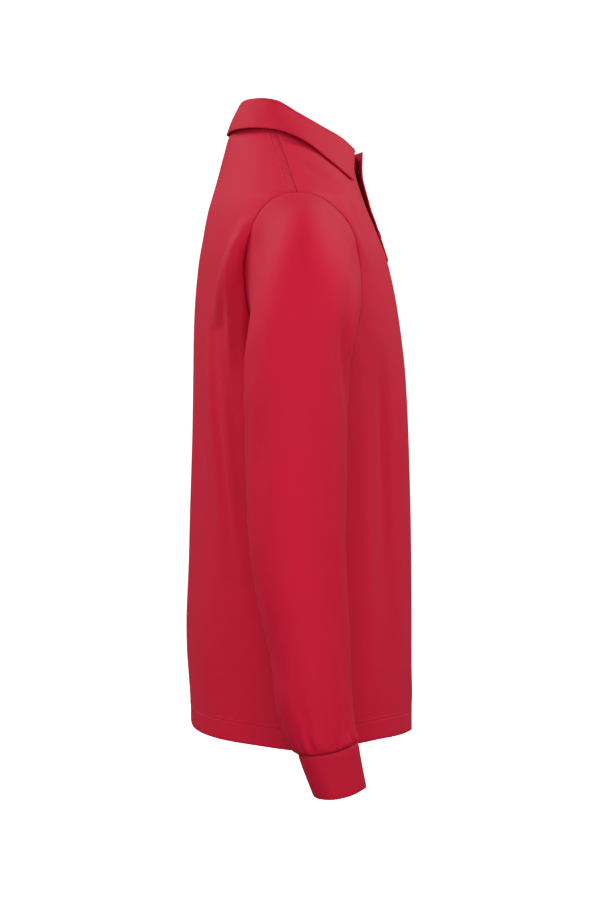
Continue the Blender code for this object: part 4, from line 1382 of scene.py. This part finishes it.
class Cloths:
    """The materials of the shirt: knit cotton, flat-knit rib, thread and buttons."""

    COTTON = (0.545, 0.0020, 0.0290)
    RIB = (0.520, 0.0020, 0.0270)
    # The thread's colour is darker than the cotton's: painted shade, so that the stitch rows read
    # as shaded grooves.
    THREAD = (0.460, 0.0020, 0.0240)
    BUTTON = (0.330, 0.0030, 0.0140)
    # Painted shadow for the button holes and the buttonhole slits.
    HOLE = (0.100, 0.0015, 0.0050)
    WALE = 0.00115
    COURSE = 0.00095
    KNIT_HEIGHT = 0.000045
    RIB_WALE = 0.00135
    RIB_HEIGHT = 0.00011
    SHEEN_TINT = (1.0, 0.62, 0.66, 1.0)
    SLOW_SCALE, FIBRE_SCALE, SLUB_SCALE = 7.0, 900.0, 160.0
    SLOW_HEIGHT, FIBRE_HEIGHT, SLUB_HEIGHT = 0.0012, 0.00005, 0.00008
    # The knit factor, the last of these, is painted shade in the hollows between the loops; the
    # others vary the tone at random.
    SLOW_TONE, FIBRE_TONE, SLUB_TONE, KNIT_TONE = 0.09, 0.16, 0.06, 0.05
    WALE_SHARE, COURSE_SHARE, RIB_SHARE = 0.4, 0.5, 0.6

    def cloth(self, shading: Shading, colour: tuple[float, float, float], knit: Socket,
              reliefs: Sequence[Relief], tone: float) -> Material:
        """Set colour, sheen, roughness and relief that all the cloths share.

        The colour varies slowly over the piece, with the fibres, and darkens between the
        loops as painted shade in the hollows of the knit; the slow part is cloth that has been
        worn and washed.
        """
        slow, fibre, slub = (shading.noise(scale, 2.0) for scale in (
            self.SLOW_SCALE, self.FIBRE_SCALE, self.SLUB_SCALE))
        height = (knit * self.KNIT_HEIGHT + fibre * self.FIBRE_HEIGHT
                  + slow * self.SLOW_HEIGHT + slub * self.SLUB_HEIGHT)
        for relief in reliefs:
            height = height + relief.shape(shading)
        # The knit term darkens the hollows between the loops: painted shade.
        shade = (slow * self.SLOW_TONE + fibre * self.FIBRE_TONE + slub * self.SLUB_TONE
                 + knit * self.KNIT_TONE + tone)
        return shading.finish(
            colour, shade, height,
            Roughness=slow * 0.12 + fibre * 0.10 + 0.70, IOR=1.45, Sheen_Weight=0.03,
            Sheen_Roughness=0.40, Sheen_Tint=self.SHEEN_TINT, Specular_IOR_Level=0.26)

    def cotton(self, name: str, reliefs: Sequence[Relief], tone: float = 1.0) -> Material:
        """Make fine knit cotton: loops as a product of waves along wales and courses."""
        shading = Shading(name)
        wale, course = shading.waves(self.WALE, self.COURSE)
        return self.cloth(shading, self.COTTON, wale * course + wale * self.WALE_SHARE, reliefs,
                          tone)

    def rib(self, name: str, reliefs: Sequence[Relief], along_u: float,
            tone: float = 1.0) -> Material:
        """Make flat-knit rib: one wave for the ribs and a fine one for the courses."""
        shading = Shading(name)
        ribs, courses = shading.waves(along_u, self.COURSE)
        knit = (ribs * (self.RIB_HEIGHT / self.KNIT_HEIGHT)
                + courses * self.COURSE_SHARE) * self.RIB_SHARE
        return self.cloth(shading, self.RIB, knit, reliefs, tone)

    def thread(self) -> Material:
        """Make sewing thread: smooth, with a fine twist, and darker than the cloth as painted
        shade along the stitch rows.
        """
        shading = Shading("thread")
        twist = shading.noise(2600.0, 1.0)
        return shading.finish(self.THREAD, twist * 0.35 + 1.03, twist * 0.00006,
                              Roughness=twist * 0.2 + 0.62, Sheen_Weight=0.12,
                              Specular_IOR_Level=0.4)

    def button(self) -> Material:
        """Make dyed resin: soft swirls, and a thin gloss coat with fine scratches."""
        shading = Shading("button_resin")
        swirl, scratch = shading.noise(240.0, 4.0), shading.noise(3200.0, 2.0)
        return shading.finish(
            self.BUTTON, swirl * 0.5 + 1.0, scratch * 0.00001 + swirl * 0.00002,
            Roughness=scratch * 0.16 + swirl * 0.10 + 0.42, Coat_Weight=swirl * 0.06 + 0.05,
            Coat_Roughness=0.30, Specular_IOR_Level=0.25)

    def hole(self) -> Material:
        """Make the shadow inside a button's hole or a buttonhole's slit."""
        shading = Shading("hole_shadow")
        grain = shading.noise(1500.0, 2.0)
        return shading.finish(self.HOLE, grain * 0.6 + 1.0, None, Roughness=grain * 0.1 + 0.9,
                              Specular_IOR_Level=0.1)


@dataclass(frozen=True)
class Lamp:
    """A square soft light: where it stands, its size and its power."""

    name: str
    place: tuple[float, float, float]
    size: float
    power: float


class Studio:
    """Camera, soft light, pale floor and backdrop."""

    CAMERA = (-3.0, 0.0, -0.372)
    LENS = 101.7
    FAR_CLIP = 60.0
    AIM = Vector((0.0, 0.0, -0.36))
    LAMPS = (
        Lamp("key", (-3.6, 0.0, -0.5), 2.0, 37.0),
        Lamp("key_front", (-2.8, -1.9, 0.1), 1.6, 46.0),
        Lamp("key_back", (-2.8, 1.9, 0.1), 1.6, 45.0),
        Lamp("rim_front", (0.8, -2.5, 1.8), 1.5, 76.0),
        Lamp("rim_back", (0.8, 2.5, 1.8), 1.5, 73.0),
        Lamp("top", (-1.1, -0.1, 2.3), 1.4, 5.0),
    )
    SKY, SKY_STRENGTH = (1.0, 0.995, 0.99, 1.0), 0.10
    PAPER, PAPER_GLOW = (0.93, 0.93, 0.93), 1.02
    FLOOR_Z = -0.90
    FLOOR_RADII = (0.4, 3.0)
    BOWL_RADIUS = 6.0
    BOWL_CURVE = 1.6
    BOWL_TOP = 5.0
    BOWL_SIDES, BOWL_STEPS = 64, 13

    def add_camera(self) -> None:
        """Set the camera at the photograph's place, level, looking along +X."""
        data = bpy.data.cameras.new("camera")
        data.lens = self.LENS
        data.clip_end = self.FAR_CLIP
        camera = bpy.data.objects.new("camera", data)
        camera.location = self.CAMERA
        camera.rotation_euler = (0.5 * pi, 0.0, -0.5 * pi)
        bpy.context.scene.collection.objects.link(camera)
        bpy.context.scene.camera = camera

    def add_lights(self) -> None:
        """Add the soft lamps and an even pale sky."""
        for lamp in self.LAMPS:
            data = bpy.data.lights.new(lamp.name, "AREA")
            data.size = lamp.size
            data.energy = lamp.power
            item = bpy.data.objects.new(lamp.name, data)
            item.location = lamp.place
            item.rotation_euler = (self.AIM - item.location).to_track_quat("-Z", "Y").to_euler()
            bpy.context.scene.collection.objects.link(item)
        world = bpy.data.worlds.new("sky")
        world.use_nodes = True
        sky = world.node_tree.nodes["Background"]
        sky.inputs["Color"].default_value = self.SKY
        sky.inputs["Strength"].default_value = self.SKY_STRENGTH
        bpy.context.scene.world = world
        bpy.context.scene.view_settings.view_transform = "Standard"

    def add_backdrop(self) -> None:
        """Add a round floor whose rim curves up into the backdrop, as one surface."""
        shading = Shading("pale_paper")
        grain = shading.noise(30.0, 3.0)
        paper = shading.finish(self.PAPER, grain * 0.02 + 1.0, None,
                               Roughness=grain * 0.1 + 0.95, Specular_IOR_Level=0.0,
                               Emission_Color=(1.0, 1.0, 1.0, 1.0),
                               Emission_Strength=self.PAPER_GLOW)
        swing = np.linspace(0.0, 0.5 * pi, self.BOWL_STEPS)
        radius = np.concatenate([self.FLOOR_RADII,
                                 self.BOWL_RADIUS + self.BOWL_CURVE * np.sin(swing),
                                 [self.BOWL_RADIUS + self.BOWL_CURVE]])
        height = np.concatenate([[0.0, 0.0], self.BOWL_CURVE * (1.0 - np.cos(swing)),
                                 [self.BOWL_TOP]]) + self.FLOOR_Z
        turns = full_circle(self.BOWL_SIDES)
        points = np.stack([radius[:, None] * np.cos(turns), radius[:, None] * np.sin(turns),
                           height[:, None] + 0.0 * turns], axis=-1)
        quads = ring_quads(len(radius), self.BOWL_SIDES)[:, [0, 3, 2, 1]]
        item = add_item("backdrop", points, quads.tolist() + [list(range(self.BOWL_SIDES))], paper)
        item.visible_diffuse = False
        item.visible_glossy = False


class Shirt:
    """The whole polo shirt, piece by piece, with its stitching."""

    BUTTON_PLACES = (("button_top", -0.0050, -0.038), ("button_middle", 0.0, -0.080),
                     ("button_low", 0.0, -0.118))
    BUTTON_CLEAR = 0.0002
    HOLE_HALF = 0.0074
    HOLE_ASIDE = 0.0011
    SLIT_SHORT, SLIT_ASIDE, SLIT_LIFT, SLIT_STEPS = 0.001, 0.00022, 0.00006, 12
    CROSS_ROW = 0.0095
    HEM_ENDS, HEM_STEPS = (0.8, 179.2), 420
    SHOULDER_ENDS, SHOULDER_STEPS = (0.0025, -0.0015), 60
    STRIP_STEPS, FOOT_STEPS = 60, 16
    # The first factor darkens the cuffs' colour: painted shade, as a cuff faces a little down.
    RIB_TONE, PLACKET_TONE = 0.90, 0.98
    LEFT_SEED = 11

    def __init__(self) -> None:
        """Make the form and the materials."""
        self.form = BodyForm()
        self.cloths = Cloths()
        self.thread = self.cloths.thread()
        self.hole = self.cloths.hole()
        self.under = Placket(self.form, "under_placket", 0.0, 0.0,
                             PLACKET_HALF - 2.0 * SEAM_HALF_GAP, BODY_CLOTH)
        self.upper = Placket(self.form, "upper_placket", PLACKET_CLOTH + PLACKET_CLEAR, FLARE,
                             PLACKET_HALF, PLACKET_CLOTH)

    def build_panels(self) -> None:
        """Make the front and the back."""
        for side, reliefs in ((Side.FRONT, PANEL_RELIEF), (Side.BACK, BACK_RELIEF)):
            Panel(self.form, side).build(self.cloths.cotton("cotton_" + side.panel, reliefs))

    def build_sleeves(self) -> None:
        """Make both sleeves and both cuffs."""
        cotton = self.cloths.cotton("cotton_sleeve", SLEEVE_RELIEF)
        # The cuffs' rib is darkened here as painted shade.
        rib = self.cloths.rib("rib_cuff", CUFF_RELIEF, 1.0, self.RIB_TONE)
        for name, outward, creases in (
                ("right", -1.0, SLEEVE_CREASES),
                ("left", 1.0, varied(SLEEVE_CREASES, self.LEFT_SEED))):
            Sleeve(self.form, name + "_sleeve", outward, creases).build(cotton)
            Cuff(name + "_cuff", outward).build(rib)

    def build_collar(self) -> None:
        """Make the collar."""
        Collar(self.form).build(self.cloths.rib("rib_collar", COLLAR_RELIEF, Cloths.RIB_WALE))

    def build_plackets(self) -> None:
        """Make both strips of the front opening."""
        cotton = self.cloths.cotton("cotton_placket", PLACKET_RELIEF, self.PLACKET_TONE)
        self.under.build(cotton)
        self.upper.build(cotton)

    def build_buttons(self) -> None:
        """Make the buttons, the top one on the lower strip, with their holes and thread."""
        resin = self.cloths.button()
        for name, x, z in self.BUTTON_PLACES:
            strip = self.under if name == "button_top" else self.upper
            x_at, z_at = np.array(x), np.array(z)
            out = strip.normal(x_at, z_at)
            rise = 0.5 * Button.THICK + self.BUTTON_CLEAR
            button = Button(name, strip.face(x_at, z_at) + out * rise, out)
            button.build(resin)
            button.holes(self.hole)
            add_stitching(name + "_thread", button.thread(), self.thread)

    def body_row(self, side: Side, angle: Array, z: Array) -> Row:
        """Return a row of stitches on a panel at angles and heights."""
        return SEAM_STITCH, self.form.point(angle, z, side), self.form.normal(angle, z, side)

    def stitch_hem(self) -> None:
        """Sew the hem: a row round each panel."""
        angle = np.linspace(*np.radians(self.HEM_ENDS), self.HEM_STEPS)
        from_side = np.degrees(np.minimum(angle, pi - angle))
        for side in Side:
            z = self.form.hem[side.panel](from_side) + HEM_ROW
            add_stitching("hem_stitching_" + side.panel, [self.body_row(side, angle, z)],
                          self.thread)

    def stitch_shoulders(self) -> None:
        """Sew the shoulder seams: two rows behind each seam, on the back."""
        low, high = self.SHOULDER_ENDS
        z = np.linspace(SHOULDER_TIP_Z + low, high, self.SHOULDER_STEPS)
        angles = [self.form.angle_at_reach(behind, z, Side.BACK) for behind in SHOULDER_ROWS]
        for name, start, sign in (("right", 0.0, 1.0), ("left", pi, -1.0)):
            rows = [self.body_row(Side.BACK, start + sign * angle, z) for angle in angles]
            add_stitching("shoulder_stitching_" + name, rows, self.thread)

    def strip_row(self, strip: Placket, x: Array | float, z: Array | float,
                  sizes: Stitching = FINE_STITCH) -> Row:
        """Return a row of stitches on a strip of the placket."""
        x, z = np.broadcast_arrays(np.asarray(x, float), np.asarray(z, float))
        return sizes, strip.face(x, z), strip.normal(x, z)

    def stitch_plackets(self) -> None:
        """Sew the strips: rows near their edges, across the foot, and below the top."""
        low = PLACKET_LOW_Z + PLACKET_ROW + SEAM_HALF_GAP
        high = PLACKET_TOP_Z - PLACKET_ROW
        up = np.linspace(low, high, self.STRIP_STEPS)
        for strip in (self.under, self.upper):
            side = strip.half - PLACKET_ROW
            across = np.linspace(-side, side, self.FOOT_STEPS)
            lines = [(-side, up), (side, up), (across, low), (across, high)]
            if strip is self.upper:
                lines.append((across, low + self.CROSS_ROW))
            add_stitching(strip.name + "_stitching",
                          [self.strip_row(strip, x, z) for x, z in lines],
                          self.thread)

    def sew_buttonholes(self) -> None:
        """Sew three upright buttonholes on the upper strip, each a slit between satin rows; the
        slit is a dark sheet, painted shadow of the opening.
        """
        rows, points = [], []
        steps = self.SLIT_STEPS
        short = self.HOLE_HALF - self.SLIT_SHORT
        for _, _, z in self.BUTTON_PLACES:
            up = np.linspace(z - self.HOLE_HALF, z + self.HOLE_HALF, 2 * steps)
            rows += [self.strip_row(self.upper, aside, up, SATIN_STITCH)
                     for aside in (-self.HOLE_ASIDE, self.HOLE_ASIDE)]
            up = np.linspace(z - short, z + short, steps)
            points += [self.upper.face(np.full_like(up, x), up, self.SLIT_LIFT)
                       for x in (-self.SLIT_ASIDE, self.SLIT_ASIDE)]
        add_stitching("buttonhole_stitching", rows, self.thread)
        faces = [[start + k, start + steps + k, start + steps + 1 + k, start + k + 1]
                 for start in range(0, 2 * steps * len(self.BUTTON_PLACES), 2 * steps)
                 for k in range(steps - 1)]
        add_piece("buttonhole_slits", np.concatenate(points), faces, self.hole)


def main() -> None:
    """Build the camera, the shirt and the studio in order, and log each step."""
    logging.basicConfig(level=logging.INFO, format="%(message)s")
    studio = Studio()
    studio.add_camera()
    shirt = Shirt()
    for label, step in (
            ("panels", shirt.build_panels), ("sleeves and cuffs", shirt.build_sleeves),
            ("collar", shirt.build_collar), ("plackets", shirt.build_plackets),
            ("buttons", shirt.build_buttons), ("hem stitching", shirt.stitch_hem),
            ("shoulder stitching", shirt.stitch_shoulders),
            ("placket stitching", shirt.stitch_plackets),
            ("buttonholes", shirt.sew_buttonholes),
            ("lights", studio.add_lights), ("backdrop", studio.add_backdrop)):
        step()
        LOG.info("built: %s", label)


if __name__ == "__main__":
    main()
